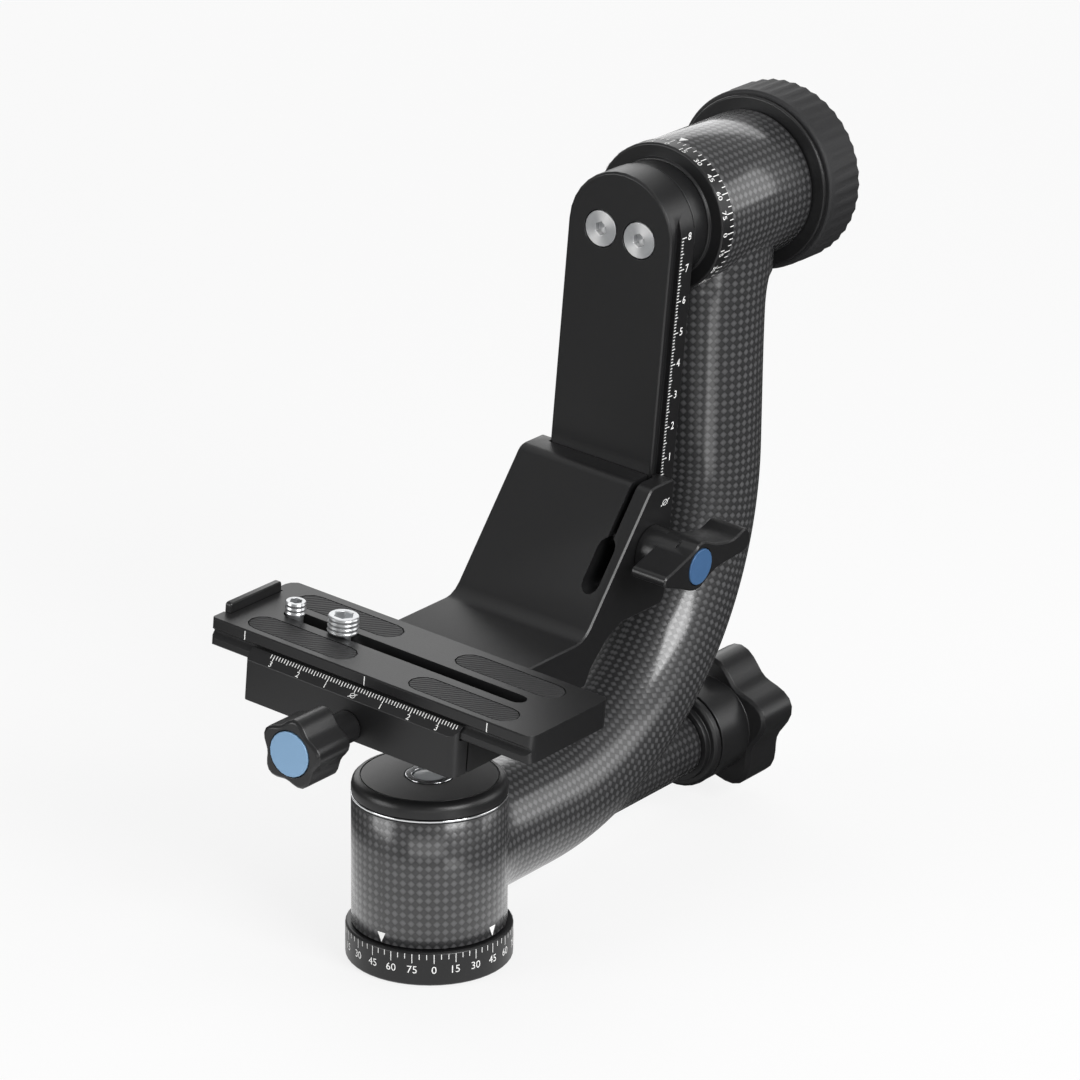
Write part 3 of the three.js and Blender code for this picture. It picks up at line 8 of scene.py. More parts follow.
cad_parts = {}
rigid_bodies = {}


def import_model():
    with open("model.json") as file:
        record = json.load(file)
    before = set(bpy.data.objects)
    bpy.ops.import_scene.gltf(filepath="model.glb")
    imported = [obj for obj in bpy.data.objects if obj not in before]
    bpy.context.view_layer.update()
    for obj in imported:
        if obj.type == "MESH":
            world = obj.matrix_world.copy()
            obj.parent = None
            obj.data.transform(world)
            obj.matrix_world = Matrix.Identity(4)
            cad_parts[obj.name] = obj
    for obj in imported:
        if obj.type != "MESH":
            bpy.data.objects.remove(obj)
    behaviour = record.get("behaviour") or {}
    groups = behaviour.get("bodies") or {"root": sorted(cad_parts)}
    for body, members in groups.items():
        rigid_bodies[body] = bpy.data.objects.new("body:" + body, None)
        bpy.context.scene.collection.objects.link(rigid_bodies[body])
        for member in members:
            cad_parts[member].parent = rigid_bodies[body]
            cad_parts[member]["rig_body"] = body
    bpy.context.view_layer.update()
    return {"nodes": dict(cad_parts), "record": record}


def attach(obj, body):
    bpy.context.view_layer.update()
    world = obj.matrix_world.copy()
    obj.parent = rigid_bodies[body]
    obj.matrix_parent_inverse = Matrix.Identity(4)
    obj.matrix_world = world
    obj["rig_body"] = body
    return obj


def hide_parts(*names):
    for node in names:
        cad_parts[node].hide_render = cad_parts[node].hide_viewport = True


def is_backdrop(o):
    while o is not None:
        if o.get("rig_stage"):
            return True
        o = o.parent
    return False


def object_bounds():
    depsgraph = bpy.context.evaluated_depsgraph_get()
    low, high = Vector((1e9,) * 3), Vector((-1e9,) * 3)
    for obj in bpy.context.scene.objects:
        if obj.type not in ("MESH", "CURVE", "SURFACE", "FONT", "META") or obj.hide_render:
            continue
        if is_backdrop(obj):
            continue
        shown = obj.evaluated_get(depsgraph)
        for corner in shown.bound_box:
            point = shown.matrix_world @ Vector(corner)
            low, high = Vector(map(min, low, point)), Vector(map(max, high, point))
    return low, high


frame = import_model()
nodes = frame["nodes"]
slot_of = {row["node"]: row["material_slot"] for row in frame["record"]["subparts"]}

# Sizes of the CAD model that the dressing follows. Lengths are in millimetres unless said otherwise.
MM = 0.001
TILT_HEIGHT = 198.2
HANG = math.radians(4.7)  # how far the hanger leans about the tilt axis at rest
TUBE_RADIUS, TUBE_LOW, TUBE_UPRIGHT = 18.5, 30.6, 136.5
BEND_RADIUS = 90.4
BEND_X, BEND_Z = TUBE_UPRIGHT - BEND_RADIUS, TUBE_LOW + BEND_RADIUS
BEND_LENGTH = BEND_RADIUS * math.pi / 2
SLEEVE_RADIUS, SLEEVE_BORE, SLEEVE_FOOT, SLEEVE_TOP = 22.96, 19.2, 11.0, 50.3
HOUSING_RADIUS, HOUSING_BORE, HOUSING_FRONT, HOUSING_BACK = 22.5, 19.0, 118.2, 160.7
STUB_RADIUS, STUB_HEIGHT, STUB_START, STUB_END = 11.4, 26.2, 52.0, 123.8
BASE_RADIUS = 24.7
FLANGE_RADIUS = 22.95
BRACKET_SIDE, CRADLE_SIDE, PLATE_FRONT = -18.65, -25.0, -28.2
BRACKET_SCREWS = ((6.92, 198.46), (-6.87, 197.33))  # y and z of the left one and the right one


def hung(x, y, z):
    """A point of the leaning hanger, given about the tilt axis, in metres of the frame"""
    return Vector(
        (
            x * MM,
            (y * math.cos(HANG) - z * math.sin(HANG)) * MM,
            (y * math.sin(HANG) + z * math.cos(HANG) + TILT_HEIGHT) * MM,
        )
    )


def upright(x, y, z):
    """A point of the frame, in metres"""
    return Vector((x * MM, y * MM, z * MM))


# Shader arithmetic
def feed(tree, value, slot):
    """Links a number of the shader to a socket, or sets a plain value on it"""
    if isinstance(value, Num):
        tree.links.new(value.socket, slot)
    else:
        slot.default_value = value


class Num:
    """A socket that adds, multiplies and compares as numbers do"""

    def __init__(self, tree, socket):
        self.tree, self.socket = tree, socket

    def make(self, operation, *others):
        node = self.tree.nodes.new("ShaderNodeMath")
        node.operation = operation
        for slot, value in zip(node.inputs, (self, *others)):
            feed(self.tree, value, slot)
        return Num(self.tree, node.outputs[0])

    def __add__(self, other):
        return self.make("ADD", other)

    def __sub__(self, other):
        return self.make("SUBTRACT", other)

    def __mul__(self, other):
        return self.make("MULTIPLY", other)

    def __truediv__(self, other):
        return self.make("DIVIDE", other)

    def __neg__(self):
        return self * -1.0

    def below(self, other):
        return self.make("LESS_THAN", other)

    def above(self, other):
        return self.make("GREATER_THAN", other)

    def distance(self, other):
        """Length of the vector with these two as its sides"""
        return (self * self + other * other).make("SQRT")

    def pick(self, when_one, when_zero):
        """when_one where this is 1, when_zero where it is 0"""
        return self * (when_one - when_zero) + when_zero


class Shader:
    """A Principled material built from numbers"""

    def __init__(self, name):
        self.material = bpy.data.materials.new(name)
        self.material.use_nodes = True
        self.tree = self.material.node_tree
        self.body = self.tree.nodes["Principled BSDF"]

    def place(self):
        """x, y and z of the shaded point at rest, in millimetres"""
        coords = self.tree.nodes.new("ShaderNodeTexCoord")
        split = self.tree.nodes.new("ShaderNodeSeparateXYZ")
        self.tree.links.new(coords.outputs["Object"], split.inputs[0])
        return [Num(self.tree, output) * (1 / MM) for output in split.outputs]

    def noise(self, scale, detail, stretch=None):
        coords = self.tree.nodes.new("ShaderNodeTexCoord")
        node = self.tree.nodes.new("ShaderNodeTexNoise")
        node.inputs["Scale"].default_value = scale
        node.inputs["Detail"].default_value = detail
        source = coords.outputs["Object"]
        if stretch:
            mapping = self.tree.nodes.new("ShaderNodeMapping")
            mapping.inputs["Scale"].default_value = stretch
            self.tree.links.new(source, mapping.inputs["Vector"])
            source = mapping.outputs[0]
        self.tree.links.new(source, node.inputs["Vector"])
        return Num(self.tree, node.outputs["Fac"])

    def colour(self, factor, low, high):
        mix = self.tree.nodes.new("ShaderNodeMix")
        mix.data_type = "RGBA"
        feed(self.tree, factor, mix.inputs[0])
        mix.inputs[6].default_value = (*low, 1)
        mix.inputs[7].default_value = (*high, 1)
        self.tree.links.new(mix.outputs[2], self.body.inputs["Base Color"])

    def set(self, socket, value):
        feed(self.tree, value, self.body.inputs[socket])

    def bump(self, height, distance, strength=1.0):
        """distance is in metres"""
        node = self.tree.nodes.new("ShaderNodeBump")
        node.inputs["Distance"].default_value = distance
        node.inputs["Strength"].default_value = strength
        feed(self.tree, height, node.inputs["Height"])
        self.tree.links.new(node.outputs[0], self.body.inputs["Normal"])


TONE_SCALE, TONE_DETAIL, GRAIN_DETAIL = 18, 4, 2
GRAIN_ROUGHNESS = 0.12  # how much the roughness varies over the grain
FIBRE_SCALE = 900


def grained(name, low, high, roughness, metallic=0.0, grain=2600, depth=0.00002, stretch=None):
    """Material with a fine surface grain and a slow change of tone between two colours"""
    shader = Shader(name)
    shader.colour(shader.noise(TONE_SCALE, TONE_DETAIL), low, high)
    fine = shader.noise(grain, GRAIN_DETAIL, stretch)
    shader.set("Roughness", fine * GRAIN_ROUGHNESS + (roughness - GRAIN_ROUGHNESS / 2))
    shader.set("Metallic", metallic)
    shader.bump(fine, depth)
    return shader


# Where the weave follows the sleeve, the housing and the stub and not the tube: how far from the
# part's own axis, and how far along it
WEAVE_SLEEVE_REACH, WEAVE_SLEEVE_TOP = 23.3, 52.0
WEAVE_HOUSING_LEAST, WEAVE_HOUSING_REACH, WEAVE_HOUSING_FOOT = 21.9, 23.0, 160.0
WEAVE_STUB_REACH, WEAVE_STUB_START, WEAVE_STUB_TOP = 11.7, 60.0, 60.0


def weave_coordinates(shader):
    """Distance along and round each part of the moulding, in millimetres"""
    x, y, z = shader.place()
    on_foot, on_upright = x.below(BEND_X), z.above(BEND_Z)
    from_bend_x, under_bend_z = x - BEND_X, -z + BEND_Z
    along = on_foot.pick(
        x,
        on_upright.pick(
            z - BEND_Z + (BEND_X + BEND_LENGTH),
            from_bend_x.make("ARCTAN2", under_bend_z) * BEND_RADIUS + BEND_X,
        ),
    )
    outward = on_foot.pick(
        -z + TUBE_LOW,
        on_upright.pick(x - TUBE_UPRIGHT, from_bend_x.distance(under_bend_z) - BEND_RADIUS),
    )
    around = y.make("ARCTAN2", outward) * TUBE_RADIUS

    on_sleeve = x.distance(y).below(WEAVE_SLEEVE_REACH) * z.below(WEAVE_SLEEVE_TOP)
    along = on_sleeve.pick(z, along)
    around = on_sleeve.pick(y.make("ARCTAN2", x) * SLEEVE_RADIUS, around)

    over_tilt = z - TILT_HEIGHT
    reach = y.distance(over_tilt)
    on_housing = reach.below(WEAVE_HOUSING_REACH) * z.above(WEAVE_HOUSING_FOOT)
    on_housing = on_housing * reach.above(WEAVE_HOUSING_LEAST)
    along = on_housing.pick(x, along)
    around = on_housing.pick(y.make("ARCTAN2", over_tilt) * HOUSING_RADIUS, around)

    over_stub = z - STUB_HEIGHT
    on_stub = y.distance(over_stub).below(WEAVE_STUB_REACH) * x.above(WEAVE_STUB_START)
    on_stub = on_stub * z.below(WEAVE_STUB_TOP)
    along = on_stub.pick(x, along)
    around = on_stub.pick(y.make("ARCTAN2", over_stub) * STUB_RADIUS, around)
    return along, around


def woven_carbon():
    """Plain weave on the bias under clear coat: pale diamonds between dark ones. The checker is the
    weave itself; the pale warp tows and the brighter crown of each tow are painted highlight
    """
    tow_width = 1.77
    pale_share, dark_share, fibre_share = 0.75, 0.1, 0.15
    shader = Shader("carbon_weave")
    along, around = weave_coordinates(shader)
    p = (along + around) * (math.sqrt(0.5) / tow_width)
    q = (along - around) * (math.sqrt(0.5) / tow_width)
    warp = (p.make("FLOOR") + q.make("FLOOR")).make("FLOORED_MODULO", 2.0).below(0.5)
    across_p = (p.make("FRACT") - 0.5) * 2.0
    across_q = (q.make("FRACT") - 0.5) * 2.0
    crown = (-(across_p * across_p) + 1.0) * (-(across_q * across_q) + 1.0)
    # painted highlight: each tow is painted lighter at its crown and darker toward its edges
    painted_crown_light = crown.make("POWER", 0.5)
    fibres = shader.noise(FIBRE_SCALE, GRAIN_DETAIL)
    # painted highlight on a real weave: the warp tows are painted pale, as the tows that catch the
    # light
    tone = warp * painted_crown_light * pale_share + painted_crown_light * dark_share + fibres * fibre_share
    shader.colour(tone, (0.007, 0.007, 0.0075), (0.10, 0.10, 0.103))
    shader.set("Roughness", warp * -0.12 + 0.5)
    shader.set("Specular IOR Level", 0.5)
    shader.bump(crown, 0.00012, 0.4)
    shader.set("Coat Weight", 0.9)
    shader.set("Coat Roughness", 0.15)
    return shader


def ribbed_rubber():
    """Pads with fine slanting ribs"""
    across_x, across_y, rib_pitch = 0.55, 0.83, 1.25
    shader = Shader("pad_rubber")
    x, y, _ = shader.place()
    wave = ((x * across_x + y * across_y) * (2 * math.pi / rib_pitch)).make("SINE")
    shader.colour(shader.noise(60, TONE_DETAIL), (0.014, 0.014, 0.015), (0.022, 0.022, 0.023))
    shader.set("Roughness", wave * 0.05 + 0.62)
    shader.bump(wave, 0.00012, 0.8)
    return shader


def heads_painted_highlight():
    """Turned screw heads, with two bright fans painted into the colour: a painted highlight that
    stays at one angle
    """
    painted_light_angle = math.radians(240)
    painted_light_share, fibre_share = 0.85, 0.15
    shader = Shader("heads_painted_highlight")
    _, y, z = shader.place()
    on_left = y.above(0.0)
    (left_y, left_z), (right_y, right_z) = BRACKET_SCREWS
    across, rise = y - on_left.pick(left_y, right_y), z - on_left.pick(left_z, right_z)
    # painted highlight: two bright fans at a fixed angle round each head's centre lighten its colour
    painted_fan_light = (rise.make("ARCTAN2", across) * 2.0 - painted_light_angle).make("COSINE") * 0.5 + 0.5
    fine = shader.noise(FIBRE_SCALE, GRAIN_DETAIL)
    shader.colour(painted_fan_light * painted_fan_light * painted_light_share + fine * fibre_share, (0.40, 0.41, 0.42), (0.96, 0.96, 0.96))
    shader.set("Roughness", fine * 0.1 + 0.36)
    shader.set("Metallic", 0.7)
    return shader


# One look for each material slot, and own ones for pads, two kinds of screws and the prints
looks = {
    "carbon": woven_carbon(),
    "black_metal": grained(
        "anodised_black", (0.009, 0.009, 0.0095), (0.012, 0.012, 0.0125), roughness=0.36
    ),
    "black_plastic": grained(
        "knob_plastic", (0.010, 0.010, 0.0105), (0.014, 0.014, 0.0145), roughness=0.33, grain=1800
    ),
    "rubber": grained(
        "grip_rubber",
        (0.014, 0.014, 0.015),
        (0.020, 0.020, 0.021),
        roughness=0.6,
        grain=1500,
        depth=0.00005,
    ),
    "pads": ribbed_rubber(),
    "steel": grained(
        "turned_steel",
        (0.62, 0.63, 0.65),
        (0.72, 0.73, 0.75),
        roughness=0.26,
        metallic=1.0,
        grain=900,
        depth=0.00001,
        stretch=(1, 1, 12),
    ),
    "trim": grained(
        "bright_trim",
        (0.80, 0.81, 0.83),
        (0.88, 0.89, 0.90),
        roughness=0.14,
        metallic=1.0,
        grain=700,
        depth=0.000005,
    ),
    "screw_heads": heads_painted_highlight(),
    "thread_steel": grained(
        "thread_steel",
        (0.55, 0.56, 0.57),
        (0.68, 0.69, 0.70),
        roughness=0.3,
        metallic=0.85,
        grain=900,
        depth=0.00001,
    ),
    "bronze": grained(
        "bearing_bronze", (0.30, 0.20, 0.08), (0.38, 0.26, 0.11), roughness=0.4, metallic=1.0
    ),
    "dark_blue": grained(
        "dark_blue_cap", (0.050, 0.125, 0.27), (0.062, 0.15, 0.31), roughness=0.34, metallic=0.2
    ),
    "pale_blue": grained(
        "pale_blue_cap", (0.20, 0.36, 0.56), (0.27, 0.44, 0.64), roughness=0.34, metallic=0.3
    ),
    "vial": grained(
        "level_disc", (0.42, 0.44, 0.46), (0.52, 0.54, 0.55), roughness=0.2, grain=800, depth=0.000005
    ),
    "print": grained(
        "white_print",
        (0.90, 0.90, 0.89),
        (0.97, 0.97, 0.96),
        roughness=0.55,
        grain=1200,
        depth=0.000005,
    ),
}

EDGE, BROAD_EDGE = 0.2, 0.3
EDGE_ANGLE = math.radians(40)
SKIN_CREASE, ARM_CREASE = math.radians(34), math.radians(50)
WELD_DISTANCE = 0.002
FLAT_ANGLE = math.radians(0.5)


def place_mesh(mesh, replaced, look, crease, edge=0.0):
    """Puts a mesh in the place of a CAD piece, on the same body and with the given look"""
    mesh.materials.append(looks[look].material)
    mesh.polygons.foreach_set("use_smooth", [True] * len(mesh.polygons))
    mesh.set_sharp_from_angle(angle=crease)
    obj = bpy.data.objects.new(mesh.name, mesh)
    bpy.context.scene.collection.objects.link(obj)
    if edge:
        bevel = obj.modifiers.new("edge", "BEVEL")
        bevel.width = edge * MM
        bevel.segments = 2
        bevel.limit_method = "ANGLE"
        bevel.angle_limit = EDGE_ANGLE
    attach(obj, nodes[replaced]["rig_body"])
    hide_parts(replaced)


def skin(name, look, edge):
    """Gives a CAD piece a skin: the same faces, welded, shaded smooth and with softened edges"""
    work = bmesh.new()
    work.from_mesh(nodes[name].data)
    bmesh.ops.remove_doubles(work, verts=work.verts, dist=WELD_DISTANCE * MM)
    bmesh.ops.dissolve_limit(work, angle_limit=FLAT_ANGLE, verts=work.verts, edges=work.edges)
    index = {vert: i for i, vert in enumerate(work.verts)}
    points = [tuple(vert.co) for vert in work.verts]
    faces = [[index[vert] for vert in face.verts] for face in work.faces]
    work.free()
    mesh = bpy.data.meshes.new(name + "_skin")
    mesh.from_pydata(points, [], faces)
    place_mesh(mesh, name, look, SKIN_CREASE, edge)


own_looks = {
    name: look
    for prefix, look in (
        ("pad_", "pads"),
        ("bracket_screw", "screw_heads"),
        ("camera_screw", "thread_steel"),
    )
    for name in nodes
    if name.startswith(prefix)
}
broad_edged = ("hanger_bracket", "cradle")
for name in nodes:
    if name != "carbon_arm":
        look = own_looks.get(name, slot_of[name])
        skin(name, look, BROAD_EDGE if name in broad_edged else EDGE)


# The carbon moulding: tube, sleeve, housing and stub as smooth lofts
class Loft:
    def __init__(self):
        self.points, self.faces = [], []

    def rings(self, rings):
        """Skins a run of rings, each a list of the same number of points, and closes both ends"""
        count, start = len(rings[0]), len(self.points)
        for ring in rings:
            self.points.extend(tuple(p) for p in ring)
        for i in range(len(rings) - 1):
            for j in range(count):
                k = (j + 1) % count
                low, high = start + i * count, start + (i + 1) * count
                self.faces.append((low + j, low + k, high + k, high + j))
        self.faces.append(tuple(start + j for j in reversed(range(count))))
        last = start + (len(rings) - 1) * count
        self.faces.append(tuple(last + j for j in range(count)))

    def turned(self, profile, sides, to_world):
        """profile holds radius and position along the axis"""
        turns = [2 * math.pi * j / sides for j in range(sides)]
        self.rings(
            [
                [to_world(along, radius * math.cos(t), radius * math.sin(t)) for t in turns]
                for radius, along in profile
            ]
        )


# How the tube widens: into the sleeve by a round fillet, and into the housing by quarter ellipses,
# over a long run to both sides and over a short one outward and inward
SLEEVE_FILLET = 40.0
SWELL_RUN, SWELL_SIDE = 30.0, 3.8
FLARE_RUN, FLARE_OUT, FLARE_IN = 12.0, 5.2, -0.7
TUBE_SIDES, SLEEVE_SIDES, STUB_SIDES = 96, 128, 96

# The tube's rings lie closer together at the fillets than round the bend
FOOT_STEP, FOOT_COUNT = 1.5, 27
BEND_START, BEND_STEP, BEND_COUNT = 40, 3.05, 50
HEAD_STEP, HEAD_REST = 1.2, 1.3
TUBE_END = BEND_X + BEND_LENGTH + (TILT_HEIGHT - BEND_Z)


def quarter_share(distance, length):
    t = min(1.0, max(0.0, distance / length))
    return 1 - math.sqrt(1 - t * t)


def tube_ring(distance):
    """The tube's cross-section at a distance along its centre line"""
    if distance <= BEND_X:
        centre, out = (distance, TUBE_LOW), (0.0, -1.0)
    elif distance >= BEND_X + BEND_LENGTH:
        centre, out = (TUBE_UPRIGHT, BEND_Z + distance - BEND_X - BEND_LENGTH), (1.0, 0.0)
    else:
        angle = (distance - BEND_X) / BEND_RADIUS
        out = (math.sin(angle), -math.cos(angle))
        centre = (BEND_X + BEND_RADIUS * out[0], BEND_Z + BEND_RADIUS * out[1])
    half_side, half_out, half_in = TUBE_RADIUS, TUBE_RADIUS, TUBE_RADIUS
    rise = centre[1] - (TILT_HEIGHT - HOUSING_RADIUS)
    if rise > -SWELL_RUN:
        flare = quarter_share(rise + FLARE_RUN, FLARE_RUN)
        half_side += SWELL_SIDE * quarter_share(rise + SWELL_RUN, SWELL_RUN + HOUSING_RADIUS)
        half_out += FLARE_OUT * flare
        half_in += FLARE_IN * flare
    reach, side = SLEEVE_RADIUS + SLEEVE_FILLET, TUBE_RADIUS + SLEEVE_FILLET
    fillet_x = math.sqrt(reach**2 - side**2)
    touch_x = fillet_x * SLEEVE_RADIUS / reach
    if centre[0] < fillet_x:
        inset = fillet_x - max(centre[0], touch_x)
        half_side = side - math.sqrt(SLEEVE_FILLET**2 - inset**2)
    ring = []
    for j in range(TUBE_SIDES):
        t = 2 * math.pi * j / TUBE_SIDES
        lateral = math.cos(t) * (half_out if math.cos(t) > 0 else half_in)
        ring.append(
            upright(
                centre[0] + out[0] * lateral, half_side * math.sin(t), centre[1] + out[1] * lateral
            )
        )
    return ring


def rimmed(bore, radius, start, end, corner):
    """Profile of a barrel whose two rims follow corner, rows of depth inward and distance along"""
    near = [(radius - depth, start + rest) for depth, rest in corner]
    far = [(radius - depth, end - rest) for depth, rest in reversed(corner)]
    return [(bore, start), *near, *far, (bore, end)]


SLEEVE_CORNER = [(0.2, 0), (0, 0.2)]
HOUSING_CORNER = [(0.5, 0), (0.15, 0.15), (0, 0.5)]
STUB_CORNER = 0.2

stops = [i * FOOT_STEP for i in range(FOOT_COUNT)]
stops += [BEND_START + i * BEND_STEP for i in range(1, BEND_COUNT + 1)]
while stops[-1] < TUBE_END - HEAD_REST:
    stops.append(stops[-1] + HEAD_STEP)
moulding = Loft()
moulding.rings([tube_ring(stop) for stop in stops])
moulding.turned(
    rimmed(SLEEVE_BORE, SLEEVE_RADIUS, SLEEVE_FOOT, SLEEVE_TOP, SLEEVE_CORNER),
    SLEEVE_SIDES,
    lambda along, u, v: upright(u, v, along),
)
moulding.turned(
    rimmed(HOUSING_BORE, HOUSING_RADIUS, HOUSING_FRONT, HOUSING_BACK, HOUSING_CORNER),
    SLEEVE_SIDES,
    lambda along, u, v: upright(along, u, v + TILT_HEIGHT),
)
moulding.turned(
    [
        (STUB_RADIUS, STUB_START),
        (STUB_RADIUS, STUB_END - STUB_CORNER),
        (STUB_RADIUS - STUB_CORNER, STUB_END),
    ],
    STUB_SIDES,
    lambda along, u, v: upright(along, u, v + STUB_HEIGHT),
)
arm_mesh = bpy.data.meshes.new("carbon_arm_skin")
arm_mesh.from_pydata(moulding.points, [], moulding.faces)
place_mesh(arm_mesh, "carbon_arm", "carbon", ARM_CREASE)


# Printed marks, gathered into one mesh for each body or place
class Marks:
    def __init__(self, name, body):
        self.name, self.body = name, body
        self.points, self.faces = [], []

    def panel(self, corners):
        start = len(self.points)
        self.points.extend(corners)
        self.faces.append(tuple(range(start, start + len(corners))))

    def bar(self, u0, u1, v0, v1, to_world):
        self.panel([to_world(u, v) for u, v in ((u0, v0), (u1, v0), (u1, v1), (u0, v1))])

    def text(self, words, height, centre, to_world):
        """words of that digit height about centre"""
        points, faces = flat_text(words)
        left, right = min(u for u, _ in points), max(u for u, _ in points)
        foot, top = min(v for _, v in points), max(v for _, v in points)
        mid_u, mid_v = (right + left) / 2, (top + foot) / 2
        scale = height / (top - foot)
        start = len(self.points)
        self.points.extend(
            to_world(centre[0] + (u - mid_u) * scale, centre[1] + (v - mid_v) * scale)
            for u, v in points
        )
        self.faces.extend(tuple(start + i for i in face) for face in faces)

    def make(self):
        mesh = bpy.data.meshes.new(self.name)
        mesh.from_pydata([tuple(p) for p in self.points], [], self.faces)
        mesh.materials.append(looks["print"].material)
        obj = bpy.data.objects.new(self.name, mesh)
        bpy.context.scene.collection.objects.link(obj)
        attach(obj, self.body)


text_shapes = {}


def flat_text(words):
    """Points and faces of words in the built-in font, made once for each text"""
    if words not in text_shapes:
        curve = bpy.data.curves.new("digits", "FONT")
        curve.body = words
        curve.resolution_u = 3
        carrier = bpy.data.objects.new("digits", curve)
        bpy.context.scene.collection.objects.link(carrier)
        bpy.context.view_layer.update()
        mesh = carrier.evaluated_get(bpy.context.evaluated_depsgraph_get()).to_mesh()
        points = [(v.co.x, v.co.y) for v in mesh.vertices]
        faces = [tuple(p.vertices) for p in mesh.polygons]
        text_shapes[words] = (points, faces)
        bpy.data.objects.remove(carrier)
        bpy.data.curves.remove(curve)
    return text_shapes[words]


PRINT_LIFT = 0.06
BASE_ZERO = math.radians(40.4)
FLANGE_ZERO = math.radians(-1.1)


# Each of these takes a place on one surface to the frame: first the way round or along it
def base_side(turned, height):
    radius, angle = BASE_RADIUS + PRINT_LIFT, turned / BASE_RADIUS
    return upright(-radius * math.cos(angle), -radius * math.sin(angle), height)


def sleeve_side(turned, height):
    radius, angle = SLEEVE_RADIUS + PRINT_LIFT, turned / SLEEVE_RADIUS
    return upright(-radius * math.cos(angle), -radius * math.sin(angle), height)


def housing_side(turned, along):
    radius, angle = HOUSING_RADIUS + PRINT_LIFT, turned / HOUSING_RADIUS + HANG
    return upright(along, -radius * math.sin(angle), TILT_HEIGHT + radius * math.cos(angle))


def flange_side(turned, along):
    radius, angle = FLANGE_RADIUS + PRINT_LIFT, turned / FLANGE_RADIUS + FLANGE_ZERO
    return hung(along, -radius * math.sin(angle), radius * math.cos(angle))


def bracket_side(along, height):
    return hung(along, BRACKET_SIDE - PRINT_LIFT, height)


def cradle_side(along, height):
    return hung(along, CRADLE_SIDE - PRINT_LIFT, height)


def plate_front(along, height):
    return hung(PLATE_FRONT - PRINT_LIFT, along, height)


BEVEL_FOOT_X, BEVEL_FOOT_Z, BEVEL_MIDDLE_Y = -30.6, -110.0, -3.8
BEVEL_DEPTH, BEVEL_RISE, BEVEL_LIFT = 3.05, 3.15, 0.04


def jaw_bevel(along, up):
    """along runs to the right, up runs from the bevel's foot toward the plate"""
    share = up / math.hypot(BEVEL_DEPTH, BEVEL_RISE)
    return hung(
        BEVEL_FOOT_X + BEVEL_DEPTH * share - BEVEL_LIFT,
        BEVEL_MIDDLE_Y - along,
        BEVEL_FOOT_Z + BEVEL_RISE * share + PRINT_LIFT,
    )


def by_rank(index, tens, fives, ones):
    """Picks the value for every tenth, every fifth or any other tick of a ruler"""
    return tens if index % 10 == 0 else fives if index % 5 == 0 else ones


def degree_scale(marks, to_world, radius, zero, half_width, feet, top, digits, digits_at):
    """A long tick and a number every 15 degrees, a short tick every 5; the numbers run 0 to 75"""
    long_foot, short_foot = feet
    for tick in range(72):
        turned = zero * radius + math.radians(5 * tick) * radius
        numbered = tick % 3 == 0
        foot = long_foot if numbered else short_foot
        marks.bar(turned - half_width, turned + half_width, foot, top, to_world)
        if numbered:
            marks.text(str(15 * (tick // 3 % 6)), digits, (turned, digits_at), to_world)


POINTER_HALF_WIDTH = 1.4


def pointer(marks, middle, tip, foot, half_width, to_world):
    corners = ((middle, tip), (middle + half_width, foot), (middle - half_width, foot))
    marks.panel([to_world(u, v) for u, v in corners])


ZERO_RING_SIDES, ZERO_RING_INNER_SHARE = 20, 0.8
ZERO_LINE_SHARES = ((-1.6, -0.8), (-1.45, -1.0), (1.6, 0.8), (1.45, 1.0))


def ring_and_line(marks, centre, half_width, half_height, to_world):
    """A small ring crossed by a slanted line"""

    def spot(u, v):
        return to_world(centre[0] + u * half_width, centre[1] + v * half_height)

    inner = ZERO_RING_INNER_SHARE
    for step in range(ZERO_RING_SIDES):
        a, b = (2 * math.pi * n / ZERO_RING_SIDES for n in (step, step + 1))
        corners = ((inner, a), (1.0, a), (1.0, b), (inner, b))
        marks.panel([spot(grow * math.cos(t), grow * math.sin(t)) for grow, t in corners])
    marks.panel([spot(u, v) for u, v in ZERO_LINE_SHARES])


# Degree scale round the base
base_marks = Marks("marks_base_scale", "base")
degree_scale(
    base_marks,
    base_side,
    BASE_RADIUS,
    BASE_ZERO,
    half_width=0.11,
    feet=(7.2, 8.5),
    top=10.1,
    digits=2.3,
    digits_at=5.2,
)
base_marks.make()

# Pointers on the sleeve and on the tilt housing
arm_marks = Marks("marks_arm_pointers", "arm")
SLEEVE_TIP, SLEEVE_TIP_FOOT, HOUSING_TIP, HOUSING_TIP_FOOT = 11.3, 14.4, 119.0, 122.2
for quarter in range(4):
    middle = math.radians(90 * quarter) * SLEEVE_RADIUS
    pointer(arm_marks, middle, SLEEVE_TIP, SLEEVE_TIP_FOOT, POINTER_HALF_WIDTH, sleeve_side)
pointer(arm_marks, 0, HOUSING_TIP, HOUSING_TIP_FOOT, -POINTER_HALF_WIDTH, housing_side)
arm_marks.make()

# Tilt scale on the flange, from the top toward the right
hanger_marks = Marks("marks_hanger_scales", "hanger")
degree_scale(
    hanger_marks,
    flange_side,
    FLANGE_RADIUS,
    zero=0,
    half_width=0.14,
    feet=(114.7, 115.9),
    top=117.6,
    digits=2.0,
    digits_at=113.4,
)

# Bracket ruler: centimetres from 0 at the foot
RULER_ZERO, RULER_START, RULER_ENDS = -77.88, 97.0, (99.3, 98.6, 98.0)
RULER_HALF_TICK, RULER_DIGITS, RULER_DIGITS_AT = 0.14, 2.4, 100.9
for millimetre in range(81):
    height = RULER_ZERO + millimetre
    low, high = height - RULER_HALF_TICK, height + RULER_HALF_TICK
    hanger_marks.bar(RULER_START, by_rank(millimetre, *RULER_ENDS), low, high, bracket_side)
    if millimetre % 10 == 0:
        number = str(millimetre // 10)
        hanger_marks.text(number, RULER_DIGITS, (RULER_DIGITS_AT, height), bracket_side)
hanger_marks.make()

